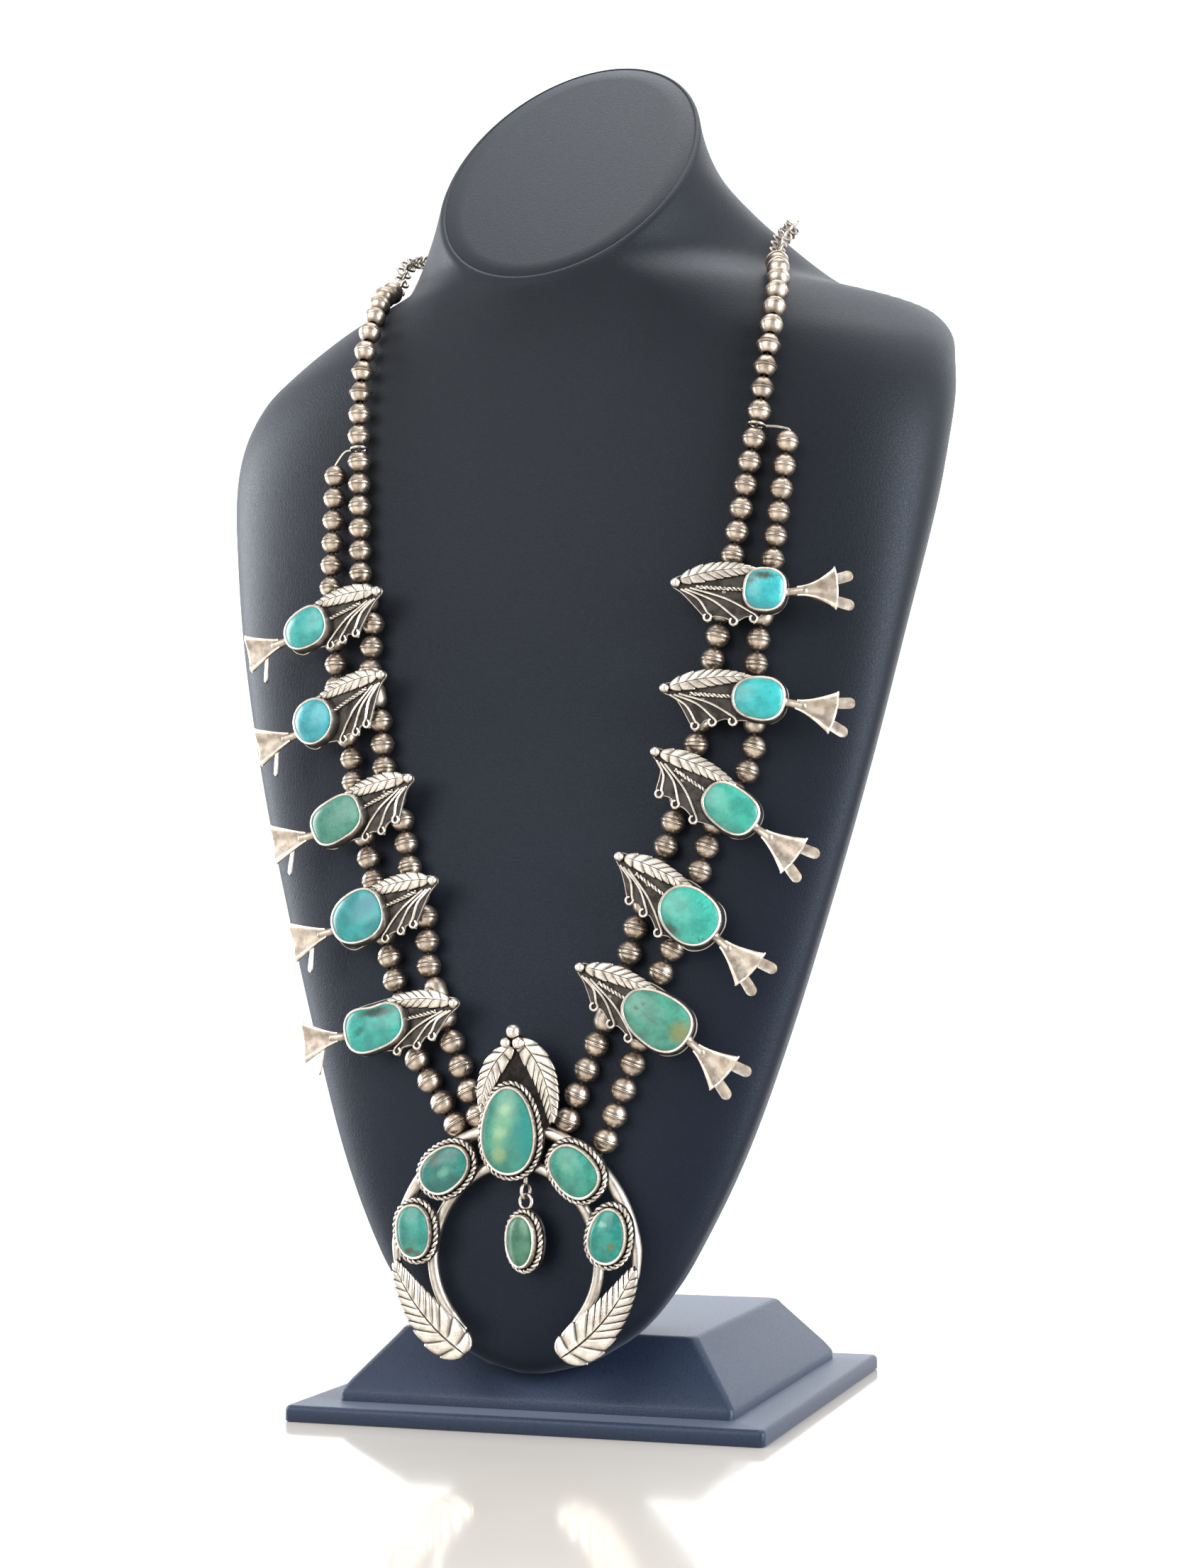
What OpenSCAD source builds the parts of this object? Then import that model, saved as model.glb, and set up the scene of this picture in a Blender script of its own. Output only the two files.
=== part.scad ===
// Squash blossom necklace of oxidised silver and turquoise, worn by the black
// neck bust it is displayed on. The bust stands on a square block and plate.
// Frame: origin under the middle of the base plate, +Z up, -Y to the front.
// All sizes are in millimetres.

/* [Base] */
// width of the base plate, left to right
plate_width = 137; // [120:1:160]
// depth of the base plate, front to back
plate_depth = 138; // [120:1:160]
// thickness of the base plate
plate_thickness = 4.5; // [3:0.5:8]
// bevel round the base plate's top edge
plate_bevel = 1; // [0.3:0.1:2]
// width of the block at its foot
block_foot_width = 114; // [105:1:125]
// depth of the block at its foot
block_foot_depth = 115.5; // [105:1:125]
// width of the block at its top
block_top_width = 86; // [80:1:96]
// depth of the block at its top
block_top_depth = 89; // [82:1:92]
// upright lower edge of the block
block_skirt = 3; // [1:0.5:6]
// height of the block above the plate
block_height = 19.5; // [17:0.5:20]

/* [Bust] */
// height to the virtual top of the neck, before its slanted cut
bust_height = 412; // [400:1:430]
// width across the shoulders
bust_width = 225; // [215:1:240]
// how far the chest stands in front of the stand's middle
bust_reach = 65.5; // [62:0.5:72]
// height of the middle of the neck's cut face
neck_cut_height = 363; // [355:1:372]
// slope of the neck's cut face from the horizontal
neck_cut_slope = 51; // [42:1:58]
// gap left between the bust and the block it is fixed to
seat_gap = 0.1; // [0.05:0.05:0.5]

/* [Beads] */
// diameter of one bead
bead_diameter = 6.5; // [6:0.1:6.55]
// free space between neighbouring beads
bead_gap = 0.15; // [0.12:0.01:0.25]
// height of the seam ridge round a bead's equator
bead_ridge = 0.12; // [0.05:0.01:0.2]
// width of the hole drilled through a bead
bead_hole = 2.3; // [2.2:0.1:2.4]
// thickness of the stringing cord
thread_diameter = 0.6; // [0.4:0.05:0.7]
// space between the beads and the bust
bead_clearance = 0.25; // [0.15:0.05:0.6]
// space for a tie ring between the single strand and the double one
tie_room = 1.2; // [1:0.1:1.6]

/* [Blossoms] */
// height of a blossom's back plate above the bust
blossom_lift = 7.4; // [7.2:0.1:9]
// thickness of a blossom's back plate
blossom_plate = 0.9; // [0.7:0.1:1.4]
// distance from the stone's middle to the tip ball
blossom_reach = 26; // [24:0.5:28]
// diameter of the ball at a blossom's tip
tip_ball = 2.8; // [2.2:0.1:3.4]
// height of a bezel above its plate
bezel_height = 3; // [2.4:0.1:3.6]
// wall of a bezel
bezel_wall = 0.55; // [0.4:0.05:0.8]
// space between a stone and its bezel
stone_gap = 0.08; // [0.05:0.01:0.2]
// how far a stone domes above its bezel
stone_dome = 1.3; // [0.8:0.1:2]
// diameter of the stem between bezel and petals
stem_diameter = 2.6; // [2:0.1:3]
// length of the wide front petal
front_petal = 9.6; // [8:0.2:11]
// width of the front petal at its mouth
petal_mouth = 11; // [9:0.2:12]
// length of the two back petals
back_petal = 14; // [12:0.2:15]
// outside diameter of the tubes the strands run through
shank_diameter = 3.4; // [3.2:0.1:3.8]

/* [Naja] */
// radius of the crescent's outer wire
naja_outer_radius = 34.3; // [33:0.1:36]
// radius of the crescent's inner wire
naja_inner_radius = 23.8; // [23:0.1:24.6]
// thickness of the outer wire
naja_outer_wire = 3.5; // [3:0.1:3.8]
// thickness of the inner wire
naja_inner_wire = 3.1; // [2.8:0.1:3.4]
// height of the crescent's middle above the floor
naja_height = 46; // [45.5:0.1:47]
// space between the naja's back and the bust
naja_gap = 1.4; // [1.2:0.1:2.5]
// length of a leaf at the end of the crescent
end_leaf_length = 32.5; // [29:0.5:34]
// width of that leaf
end_leaf_width = 12; // [10:0.2:13]
// height of the crest's top ball above the middle of the centre stone
crest_height = 26.5; // [25:0.5:29]
// width of the crest behind the centre stone
crest_width = 21.6; // [20:0.2:23]
// width of the rope border round the naja's stones
rope_width = 1.6; // [1.2:0.1:1.8]

/* [Drop] */
// sideways place of the loop the drop hangs from
drop_side = 3.8; // [2:0.1:5]
// how far the drop faces towards the viewer's left
drop_turn = 18; // [0:1:20]
// ring radius of the naja's loop, to the wire's middle
loop_radius = 1.9; // [1.8:0.05:2.1]
// ring radius of the drop's own ring
drop_ring_radius = 2; // [1.9:0.05:2.2]
// thickness of both wires
loop_wire = 1; // [0.8:0.05:1]
// length of the drop's stone
drop_stone_length = 13; // [12:0.1:14]
// width of the drop's stone
drop_stone_width = 8.6; // [8:0.1:9.2]

/* [Clasp] */
// ring radius of a chain link, to the wire's middle
link_radius = 3.4; // [3.2:0.1:3.5]
// thickness of the chain's wire
link_wire = 1.4; // [1.2:0.1:1.5]

/* [Hidden] */
$fn = 48;

block_top = plate_thickness + block_height;
half_bust = bust_width / 2;
bead_pitch = bead_diameter + bead_gap;
bead_lift = bead_diameter / 2 + bead_ridge + bead_clearance;

// The bust's sections from hem to neck. Each row gives, as shares of the bust's
// height, half width and reach: height, half width, front, widest line,
// depth of the flat back behind that line, and the roundness of the front.
sections = [
  [0.0352, 0.053, 0.893, 0.779, 0.082, 2.20],
  [0.0376, 0.102, 0.916, 0.779, 0.153, 2.20],
  [0.0425, 0.147, 0.939, 0.786, 0.229, 2.20],
  [0.0498, 0.196, 0.959, 0.794, 0.305, 2.20],
  [0.0607, 0.258, 0.977, 0.809, 0.397, 2.20],
  [0.0777, 0.320, 0.992, 0.824, 0.458, 2.20],
  [0.1092, 0.400, 1.000, 0.824, 0.464, 2.20],
  [0.1699, 0.511, 0.977, 0.763, 0.464, 2.20],
  [0.2427, 0.609, 0.947, 0.687, 0.464, 2.20],
  [0.3398, 0.720, 0.878, 0.611, 0.464, 2.20],
  [0.4369, 0.820, 0.824, 0.534, 0.464, 2.20],
  [0.5340, 0.905, 0.809, 0.427, 0.464, 2.20],
  [0.6189, 0.969, 0.794, 0.275, 0.464, 2.20],
  [0.6675, 0.994, 0.786, 0.183, 0.464, 2.15],
  [0.7039, 1.000, 0.786, 0.061, 0.464, 2.05],
  [0.7354, 0.985, 0.794, -0.092, 0.464, 1.90],
  [0.7573, 0.964, 0.809, -0.260, 0.464, 1.72],
  [0.7743, 0.927, 0.824, -0.366, 0.464, 1.58],
  [0.7864, 0.876, 0.832, -0.412, 0.464, 1.48],
  [0.7961, 0.773, 0.840, -0.427, 0.464, 1.42],
  [0.8058, 0.680, 0.847, -0.412, 0.464, 1.40],
  [0.8180, 0.613, 0.855, -0.366, 0.464, 1.42],
  [0.8350, 0.538, 0.863, -0.275, 0.464, 1.48],
  [0.8568, 0.453, 0.870, -0.153, 0.473, 1.62],
  [0.8811, 0.382, 0.878, -0.015, 0.489, 1.80],
  [0.9078, 0.352, 0.885, 0.122, 0.519, 1.92],
  [0.9417, 0.347, 0.885, 0.229, 0.565, 2.00],
  [1.0000, 0.347, 0.885, 0.296, 0.586, 2.00]];
last = len(sections) - 1;

// value k of the sections at height share h, along a smooth curve
function row_of(h, i = 0) = (i >= last - 1 || h < sections[i + 1][0]) ? i : row_of(h, i + 1);
function rise(i, k) =
  let (a = max(i - 1, 0), b = min(i + 1, last))
  (sections[b][k] - sections[a][k]) / (sections[b][0] - sections[a][0]);
function share(h, k) =
  let (i = row_of(h), a = sections[i], b = sections[i + 1], d = b[0] - a[0],
       u = max(0, min(1, (h - a[0]) / d)))
  (2 * u * u * u - 3 * u * u + 1) * a[k] + (u * u * u - 2 * u * u + u) * d * rise(i, k)
  + (3 * u * u - 2 * u * u * u) * b[k] + (u * u * u - u * u) * d * rise(i + 1, k);

// front of the bust at x, height z
function front(x, z) =
  let (h = z / bust_height, w = share(h, 1) * half_bust, f = -share(h, 2) * bust_reach,
       s = -share(h, 3) * bust_reach, e = share(h, 5),
       q = max(0, 1 - pow(min(1, abs(x) / w), e)))
  s - (s - f) * pow(q, 1 / e);
function unit(v) = v / norm(v);
function face(x, z) =
  unit([front(x + 0.5, z) - front(x - 0.5, z), -1, front(x, z + 0.5) - front(x, z - 0.5)]);
// a point on the chest, lifted off it by the stated height
function on_chest(x, z, lift) = [x, front(x, z), z] + lift * face(x, z);

// one outline point of the bust at height share h and angle a
function skin(h, a) =
  let (w = share(h, 1) * half_bust, f = -share(h, 2) * bust_reach, s = -share(h, 3) * bust_reach,
       flat = share(h, 4) * bust_reach, deep = max(flat, min(0.9 * w, 0.58 * bust_reach)),
       e = sin(a) > 0 ? share(h, 5) : 2.1, c = pow(abs(cos(a)), 2 / e), t = pow(abs(sin(a)), 2 / e))
  [(cos(a) > 0 ? w : -w) * c, sin(a) > 0 ? s - (s - f) * t : s + min(deep * t, flat), h * bust_height];

module bust_skin() {
  per = 40;
  levels = [for (i = [0 : last - 1]) for (j = [0 : 1])
    sections[i][0] + (sections[i + 1][0] - sections[i][0]) * j / 2, 1];
  n = len(levels);
  polyhedron(
    points = [for (h = levels) for (k = [0 : per - 1]) skin(h, -(k + 0.5) * 360 / per)],
    faces = concat(
      [[for (k = [0 : per - 1]) k]],
      [for (i = [0 : n - 2]) for (k = [0 : per - 1])
        [i * per + k, (i + 1) * per + k, (i + 1) * per + (k + 1) % per, i * per + (k + 1) % per]],
      [[for (k = [0 : per - 1]) (n - 1) * per + per - 1 - k]]));
}

// a block whose four sides lean in above a short upright skirt
module stepped(foot_w, foot_d, top_w, top_d, low, skirt, high, grow) {
  intersection() {
    rotate([90, 0, 0])
      linear_extrude(foot_d + 2 * grow, center = true)
        polygon([[-foot_w / 2 - grow, low - grow], [foot_w / 2 + grow, low - grow],
          [foot_w / 2 + grow, low + skirt], [top_w / 2 + grow, high + grow],
          [-top_w / 2 - grow, high + grow], [-foot_w / 2 - grow, low + skirt]]);
    rotate([90, 0, 90])
      linear_extrude(foot_w + 2 * grow, center = true)
        polygon([[-foot_d / 2 - grow, low - grow], [foot_d / 2 + grow, low - grow],
          [foot_d / 2 + grow, low + skirt], [top_d / 2 + grow, high + grow],
          [-top_d / 2 - grow, high + grow], [-foot_d / 2 - grow, low + skirt]]);
  }
}

module base_plate() color([0.05, 0.05, 0.06])
  stepped(plate_width, plate_depth, plate_width - 2 * plate_bevel, plate_depth - 2 * plate_bevel,
    0, plate_thickness - plate_bevel, plate_thickness, 0);

module block_body(grow)
  stepped(block_foot_width, block_foot_depth, block_top_width, block_top_depth,
    plate_thickness, block_skirt, block_top, grow);

module base_block() color([0.05, 0.05, 0.06])
  block_body(0);

module bust_form() color([0.05, 0.05, 0.06])
  difference() {
    bust_skin();
    translate([0, -0.3 * bust_reach, neck_cut_height])
      rotate([neck_cut_slope, 0, 0])
        translate([-bust_width, -bust_width, 0])
          cube([2 * bust_width, 2 * bust_width, bust_width]);
    block_body(seat_gap);
  }

// The strands. Each row is one run of beads: the place of its first and last
// bead, as shares of the half width and height, and how many beads it holds.
inner_left = [
  [-0.476, 0.6609, -0.465, 0.5796, 6],
  [-0.427, 0.5417, -0.432, 0.5112, 3],
  [-0.401, 0.4733, -0.390, 0.4415, 3],
  [-0.333, 0.4022, -0.309, 0.3716, 3],
  [-0.258, 0.3352, -0.245, 0.3034, 3],
  [-0.193, 0.2650, -0.103, 0.2062, 5]];
outer_left = [
  [-0.547, 0.6529, -0.554, 0.5711, 6],
  [-0.533, 0.5160, -0.532, 0.5000, 2],
  [-0.483, 0.4481, -0.477, 0.4318, 2],
  [-0.425, 0.3777, -0.409, 0.3619, 2],
  [-0.354, 0.3090, -0.337, 0.2934, 2],
  [-0.264, 0.2396, -0.161, 0.1993, 4]];
inner_right = [
  [0.567, 0.6536, 0.517, 0.5731, 6],
  [0.481, 0.5199, 0.468, 0.5034, 2],
  [0.428, 0.4524, 0.426, 0.4417, 1],
  [0.372, 0.3951, 0.356, 0.3801, 2],
  [0.284, 0.3257, 0.272, 0.3095, 2],
  [0.203, 0.2551, 0.135, 0.2068, 4]];
outer_right = [
  [0.644, 0.6495, 0.611, 0.5701, 6],
  [0.577, 0.5163, 0.571, 0.5000, 2],
  [0.565, 0.4449, 0.547, 0.4274, 2],
  [0.470, 0.3942, 0.437, 0.3629, 3],
  [0.372, 0.3112, 0.348, 0.2966, 2],
  [0.290, 0.2430, 0.228, 0.1947, 4]];
// The single strand and chain over the shoulders and round the back of the
// neck, from left to right: shares of the half width, reach and height. Both
// ends move onto the strands they join.
neck_route = [
  [-0.485, -0.769, 0.6799], [-0.485, -0.750, 0.7130], [-0.482, -0.708, 0.7451],
  [-0.479, -0.630, 0.7705], [-0.488, -0.494, 0.7930], [-0.494, -0.291, 0.8104],
  [-0.520, -0.089, 0.8372], [-0.519, 0.212, 0.8552], [-0.447, 0.516, 0.8576],
  [-0.326, 0.702, 0.8565], [-0.162, 0.764, 0.8482], [0.000, 0.784, 0.8444],
  [0.123, 0.774, 0.8463], [0.241, 0.754, 0.8515], [0.374, 0.657, 0.8580],
  [0.474, 0.479, 0.8560], [0.548, 0.170, 0.8478], [0.547, -0.071, 0.8246],
  [0.568, -0.278, 0.8028], [0.598, -0.462, 0.7797], [0.606, -0.585, 0.7555],
  [0.601, -0.682, 0.7226], [0.587, -0.729, 0.6883], [0.579, -0.740, 0.6733]];

function run_way(r) = unit([(r[2] - r[0]) * half_bust, (r[3] - r[1]) * bust_height]);
function run_beads(r) =
  let (mid = [(r[0] + r[2]) * half_bust, (r[1] + r[3]) * bust_height] / 2, d = run_way(r))
  [for (i = [0 : r[4] - 1]) let (p = mid + d * (i - (r[4] - 1) / 2) * bead_pitch)
    on_chest(p[0], p[1], bead_lift)];
function strand_runs(strand) = [for (r = strand) run_beads(r)];

// the single strand's last bead, one bead and a tie ring above a strand's first
function joined(strand) =
  let (r = strand[0], d = run_way(r), m = [(r[0] + r[2]) * half_bust, (r[1] + r[3]) * bust_height] / 2,
       p = m - d * ((r[4] + 1) / 2 * bead_pitch + tie_room))
  on_chest(p[0], p[1], bead_lift);
route_last = len(neck_route) - 1;
plain = [for (p = neck_route) [p[0] * half_bust, p[1] * bust_reach, p[2] * bust_height]];
left_shift = joined(inner_left) - plain[0];
right_shift = joined(inner_right) - plain[route_last];
join_rows = 4;
route = [for (i = [0 : route_last]) plain[i] + left_shift * max(0, 1 - i / join_rows)
  + right_shift * max(0, 1 - (route_last - i) / join_rows)];
function route_pt(i) =
  i < 0 ? 2 * route[0] - route[1]
  : i > route_last ? 2 * route[route_last] - route[route_last - 1] : route[i];
function curve(i, u) =
  let (a = route_pt(i - 1), b = route_pt(i), c = route_pt(i + 1), d = route_pt(i + 2))
  0.5 * (2 * b + (c - a) * u + (2 * a - 5 * b + 4 * c - d) * u * u + (3 * b - 3 * c + d - a) * u * u * u);
samples = concat([for (i = [0 : route_last - 1]) for (j = [0 : 7]) curve(i, j / 8)], [route[route_last]]);
lengths = [for (i = 0, s = 0; i < len(samples);
  s = s + (i < len(samples) - 1 ? norm(samples[i + 1] - samples[i]) : 0), i = i + 1) s];
route_length = lengths[len(lengths) - 1];
function along(s) =
  [for (k = [0 : 2]) lookup(s, [for (i = [0 : len(samples) - 1]) [lengths[i], samples[i][k]]])];
function heading(s) = unit(along(min(s + 0.8, route_length)) - along(max(s - 0.8, 0)));

// beads on the single strand, as distances along the route
left_count = 10;
right_count = 8;
barrel_length = 12.2;
left_beads = [for (i = [0 : left_count - 1]) i * bead_pitch];
right_beads = [for (i = [0 : right_count - 1]) route_length - i * bead_pitch];
barrel_at = route_length - (right_count - 1) * bead_pitch - bead_pitch / 2 - bead_gap - barrel_length / 2;

module aim(p, d) translate(p) rotate([0, acos(d[2]), atan2(d[1], d[0])]) children();

module bead()
  difference() {
    union() {
      sphere(d = bead_diameter);
      cylinder(d = bead_diameter + 2 * bead_ridge, h = 0.4, center = true);
    }
    cylinder(d = bead_hole, h = 2 * bead_diameter, center = true);
  }

module strand_beads(strand)
  for (r = strand) {
    run = run_beads(r);
    n = len(run);
    for (i = [0 : n - 1])
      aim(run[i], n == 1 ? [run_way(r)[0], 0, run_way(r)[1]] : unit(run[min(i + 1, n - 1)] - run[max(i - 1, 0)]))
        bead();
  }

module route_beads(list)
  for (s = list)
    aim(along(s), heading(s)) bead();

module barrel()
  difference() {
    union() {
      for (k = [-1, 1])
        translate([0, 0, k * (barrel_length - bead_diameter) / 2]) {
          sphere(d = bead_diameter);
          cylinder(d = bead_diameter + 2 * bead_ridge, h = 0.4, center = true);
        }
      cylinder(d = 0.93 * bead_diameter, h = barrel_length - bead_diameter, center = true);
    }
    cylinder(d = bead_hole, h = 2 * barrel_length, center = true);
  }

silver = [0.62, 0.59, 0.55];
module beads_upper_left() color(silver) route_beads(left_beads);
module beads_upper_right() color(silver) {
  route_beads(right_beads);
  aim(along(barrel_at), heading(barrel_at)) barrel();
}
module beads_inner_left() color(silver) strand_beads(inner_left);
module beads_outer_left() color(silver) strand_beads(outer_left);
module beads_inner_right() color(silver) strand_beads(inner_right);
module beads_outer_right() color(silver) strand_beads(outer_right);

// Where a strand meets the naja: the last bead's line carried on to the wire.
naja_back = bust_reach + naja_gap;
function naja_meet(strand) =
  let (run = strand_runs(strand)[5], p = run[len(run) - 1], q = run[len(run) - 2], d = unit(p - q),
       a = [p[0], p[2] - naja_height], b = unit([d[0], d[2]]), m = a * b,
       t = -m - sqrt(max(0, m * m - a * a + naja_outer_radius * naja_outer_radius)))
  [[p[0] + b[0] * t, -naja_back + 0.3, p[2] + b[1] * t], [b[0], 0, b[1]]];
end_tube = 3.4;

function picked(run) =
  let (n = len(run))
  n < 3 ? run : concat([for (i = [0 : 2 : n - 2]) run[i]], [run[n - 1]]);
function strand_line(strand) =
  let (m = naja_meet(strand))
  concat([for (run = strand_runs(strand)) each picked(run)],
    [m[0] - m[1] * end_tube / 2, m[0] + m[1] * (end_tube / 2 + 1)]);

// the cord through a list of points: straight lengths with a small ball at each bend
bend_gap = 0.2;
module line_of(pts) {
  for (i = [0 : len(pts) - 2]) {
    v = pts[i + 1] - pts[i];
    d = unit(v);
    aim(pts[i] + d * bend_gap, d) cylinder(d = thread_diameter, h = norm(v) - 2 * bend_gap, $fn = 16);
  }
  for (i = [0 : len(pts) - 1])
    aim(pts[i], unit(pts[min(i + 1, len(pts) - 1)] - pts[max(i - 1, 0)]))
      sphere(d = 1.4 * thread_diameter, $fn = 16);
}
module knot(strand) {
  m = naja_meet(strand);
  translate(m[0] + m[1] * (end_tube / 2 + 1.2)) sphere(d = 2.3, $fn = 24);
}

end_ring = 1.3;
end_wire = 0.7;
left_end = (left_count - 1) * bead_pitch + bead_diameter / 2 + 0.2 + end_ring + end_wire / 2;
right_end = barrel_at - barrel_length / 2 - 0.2 - end_ring - end_wire / 2;

// a ring lying along the route at s, leaning by turn round its own line
module ring_at(s, radius, wire, turn) {
  p = along(s);
  t = heading(s);
  away = p - [0, -0.15 * bust_reach, p[2]];
  n = unit(away - t * (away * t));
  b = cross(t, n);
  c = n * cos(turn) + b * sin(turn);
  g = cross(c, t);
  multmatrix([[t[0], g[0], c[0], p[0]], [t[1], g[1], c[1], p[1]], [t[2], g[2], c[2], p[2]], [0, 0, 0, 1]])
    rotate_extrude() translate([radius, 0]) circle(d = wire, $fn = 24);
}

module thread_left() color([0.1, 0.09, 0.08]) {
  tops = concat([left_end - end_ring], [for (i = [left_count - 1 : -2 : 0]) left_beads[i]], [0]);
  line_of(concat([for (s = tops) along(s)], strand_line(inner_left)));
  ring_at(left_end, end_ring, end_wire, 45);
  knot(inner_left);
}
module thread_right() color([0.1, 0.09, 0.08]) {
  tops = concat([right_end + end_ring, barrel_at],
    [for (i = [right_count - 1 : -2 : 0]) right_beads[i]], [route_length]);
  line_of(concat([for (s = tops) along(s)], strand_line(inner_right)));
  ring_at(right_end, end_ring, end_wire, 45);
  knot(inner_right);
}

// The outer strand starts at a small ring above its first bead. A wire ties
// it to a second ring on the single strand.
function first_bead(strand) = strand_runs(strand)[0][0];
function second_bead(strand) = strand_runs(strand)[0][1];
function up_dir(strand) = unit(first_bead(strand) - second_bead(strand));
ring_wire = 0.7;
function outer_ring(strand) = first_bead(strand) + up_dir(strand) * (bead_diameter / 2 + 0.2 + ring_wire / 2);
function upper_mid(strand, s) = (first_bead(strand) + along(s)) / 2;
function square_to(v, d) = unit(v - d * (v * d));
module tie(outer, inner, s) {
  a = outer_ring(outer);
  b = upper_mid(inner, s);
  d = unit(along(s) - first_bead(inner));
  outer_radius = 1.2;
  inner_radius = 1.5;
  from = a + square_to(b - a, up_dir(outer)) * outer_radius;
  to = b + square_to(a - b, d) * inner_radius;
  aim(a, up_dir(outer)) rotate_extrude() translate([outer_radius, 0]) circle(d = ring_wire, $fn = 24);
  aim(b, d) rotate_extrude() translate([inner_radius, 0]) circle(d = ring_wire, $fn = 24);
  aim(from, unit(to - from)) cylinder(d = ring_wire - 0.1, h = norm(to - from), $fn = 24);
}
module strand_ring_left() color(silver) tie(outer_left, inner_left, 0);
module strand_ring_right() color(silver) tie(outer_right, inner_right, route_length);

module outer_thread(strand) {
  top = outer_ring(strand) + up_dir(strand) * 1.6;
  line_of(concat([top], strand_line(strand)));
  translate(top) sphere(d = 2.2, $fn = 24);
  knot(strand);
}
module thread_outer_left() color([0.1, 0.09, 0.08]) outer_thread(outer_left);
module thread_outer_right() color([0.1, 0.09, 0.08]) outer_thread(outer_right);

// The hook takes the chain's last link on the right of the neck.
hook_eye = 1.6;
hook_eye_wire = 1;
hook_ring = 2.8;
hook_wire = 1.2;
eye_at = right_end - (end_ring + hook_eye - (end_wire + hook_eye_wire) / 2 - 0.2);
hook_at = eye_at - hook_eye - hook_ring + 0.3;
module clasp_hook() color(silver) {
  ring_at(eye_at, hook_eye, hook_eye_wire, -45);
  ring_at(hook_at, hook_ring, hook_wire, -45);
}
chain_from = left_end + end_ring + link_radius - (end_wire + link_wire) / 2 - 0.3;
chain_to = hook_at - (hook_ring + link_radius - (hook_wire + link_wire) / 2 - 0.35);
link_slack = 0.4;
// an odd number of steps, so that the last link lies across the hook
link_steps = 2 * round(((chain_to - chain_from) / (2 * link_radius - link_wire - link_slack) - 1) / 2) + 1;
link_pitch = (chain_to - chain_from) / link_steps;
module back_chain() color(silver)
  for (i = [0 : link_steps])
    ring_at(chain_from + i * link_pitch, link_radius, link_wire, i % 2 == 0 ? -45 : 45);

// Outlines of stones: an oval of the stated power, fuller at one end by egg.
function oval(l, w, egg, p) = [for (a = [0 : 10 : 350])
  let (c = cos(a), s = sin(a), u = pow(abs(c), 2 / p), v = pow(abs(s), 2 / p))
  [(c > 0 ? 1 : -1) * u * l / 2, (s > 0 ? 1 : -1) * v * w / 2 * (1 + egg * (c > 0 ? u : -u))]];
module stone_shape(s, grow) rotate(s[4]) offset(delta = grow) polygon(oval(s[0], s[1], s[2], s[3]));
module bezel(s, floor)
  translate([0, 0, floor - 0.1])
    linear_extrude(bezel_height + 0.1)
      difference() {
        stone_shape(s, bezel_wall + stone_gap);
        stone_shape(s, stone_gap);
      }
module gem(s, floor) {
  ball = (s[0] * s[0] / 4 + stone_dome * stone_dome) / (2 * stone_dome);
  top = bezel_height + stone_dome - 0.2;
  translate([0, 0, floor + stone_gap])
    intersection() {
      linear_extrude(top) stone_shape(s, 0);
      translate([0, 0, top - ball]) sphere(r = ball, $fn = 96);
    }
}

// A leaf along +X from its point to its round end, with veins cut in its top.
function leaf_half(u) = lookup(u, [[0, 0.08], [0.15, 0.42], [0.35, 0.72], [0.6, 0.92], [0.82, 1],
  [0.93, 0.8], [1, 0.12]]);
module leaf_outline(l, w, bow, teeth) {
  n = 3 * teeth;
  side = [for (i = [0 : n]) let (u = i / n, notch = (i % 3 == 0 && i > 0 && i < n) ? 0.86 : 1)
    [u * l, leaf_half(u) * notch * w / 2, 4 * bow * u * (1 - u)]];
  polygon(concat([for (p = side) [p[0], p[2] + p[1]]],
    [for (i = [n : -1 : 0]) [side[i][0], side[i][2] - side[i][1]]]));
}
vein_angle = 38;
module leaf_veins(l, w, bow, teeth, cut)
  for (i = [1 : teeth - 1]) {
    u = i / teeth;
    for (k = [-1, 1])
      translate([u * l, 4 * bow * u * (1 - u)])
        rotate(atan2(4 * bow * (1 - 2 * u), l) + k * (180 - vein_angle))
          translate([0.1 * w, -cut / 2])
            square([w, cut]);
  }
module leaf(l, w, bow, teeth, thick, cut) {
  linear_extrude(thick / 2) leaf_outline(l, w, bow, teeth);
  translate([0, 0, thick / 2 - 0.05])
    linear_extrude(thick / 2 + 0.05)
      difference() {
        offset(delta = -0.12) leaf_outline(l, w, bow, teeth);
        leaf_veins(l, w, bow, teeth, cut);
      }
}

// The blossoms: place as shares, slope of the blossom's length, 1 on the left,
// and the stone's length, width, egg, power and turn.
blossoms = [
  [-0.585, 0.5403, 20.5, 1, [14.0, 10.8, -0.10, 2.4, 0]],
  [-0.558, 0.4745, 28.5, 1, [12.6, 12.2, 0.02, 2.1, 0]],
  [-0.484, 0.4032, 25.5, 1, [16.0, 11.6, 0.00, 2.8, 0]],
  [-0.413, 0.3352, 22.5, 1, [16.2, 13.8, -0.10, 2.3, 0]],
  [-0.351, 0.2612, 14.0, 1, [18.4, 12.4, 0.10, 2.6, 0]],
  [0.596, 0.5461, -6.5, 0, [10.6, 10.9, 0.00, 2.6, 0]],
  [0.581, 0.4745, -8.0, 0, [13.4, 10.9, 0.10, 2.4, 0]],
  [0.516, 0.4015, -37.5, 0, [15.4, 10.8, 0.04, 2.6, 0]],
  [0.422, 0.3318, -39.5, 0, [16.6, 13.6, 0.05, 2.2, 0]],
  [0.348, 0.2650, -33.0, 0, [19.2, 13.2, 0.14, 2.4, 0]]];

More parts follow.
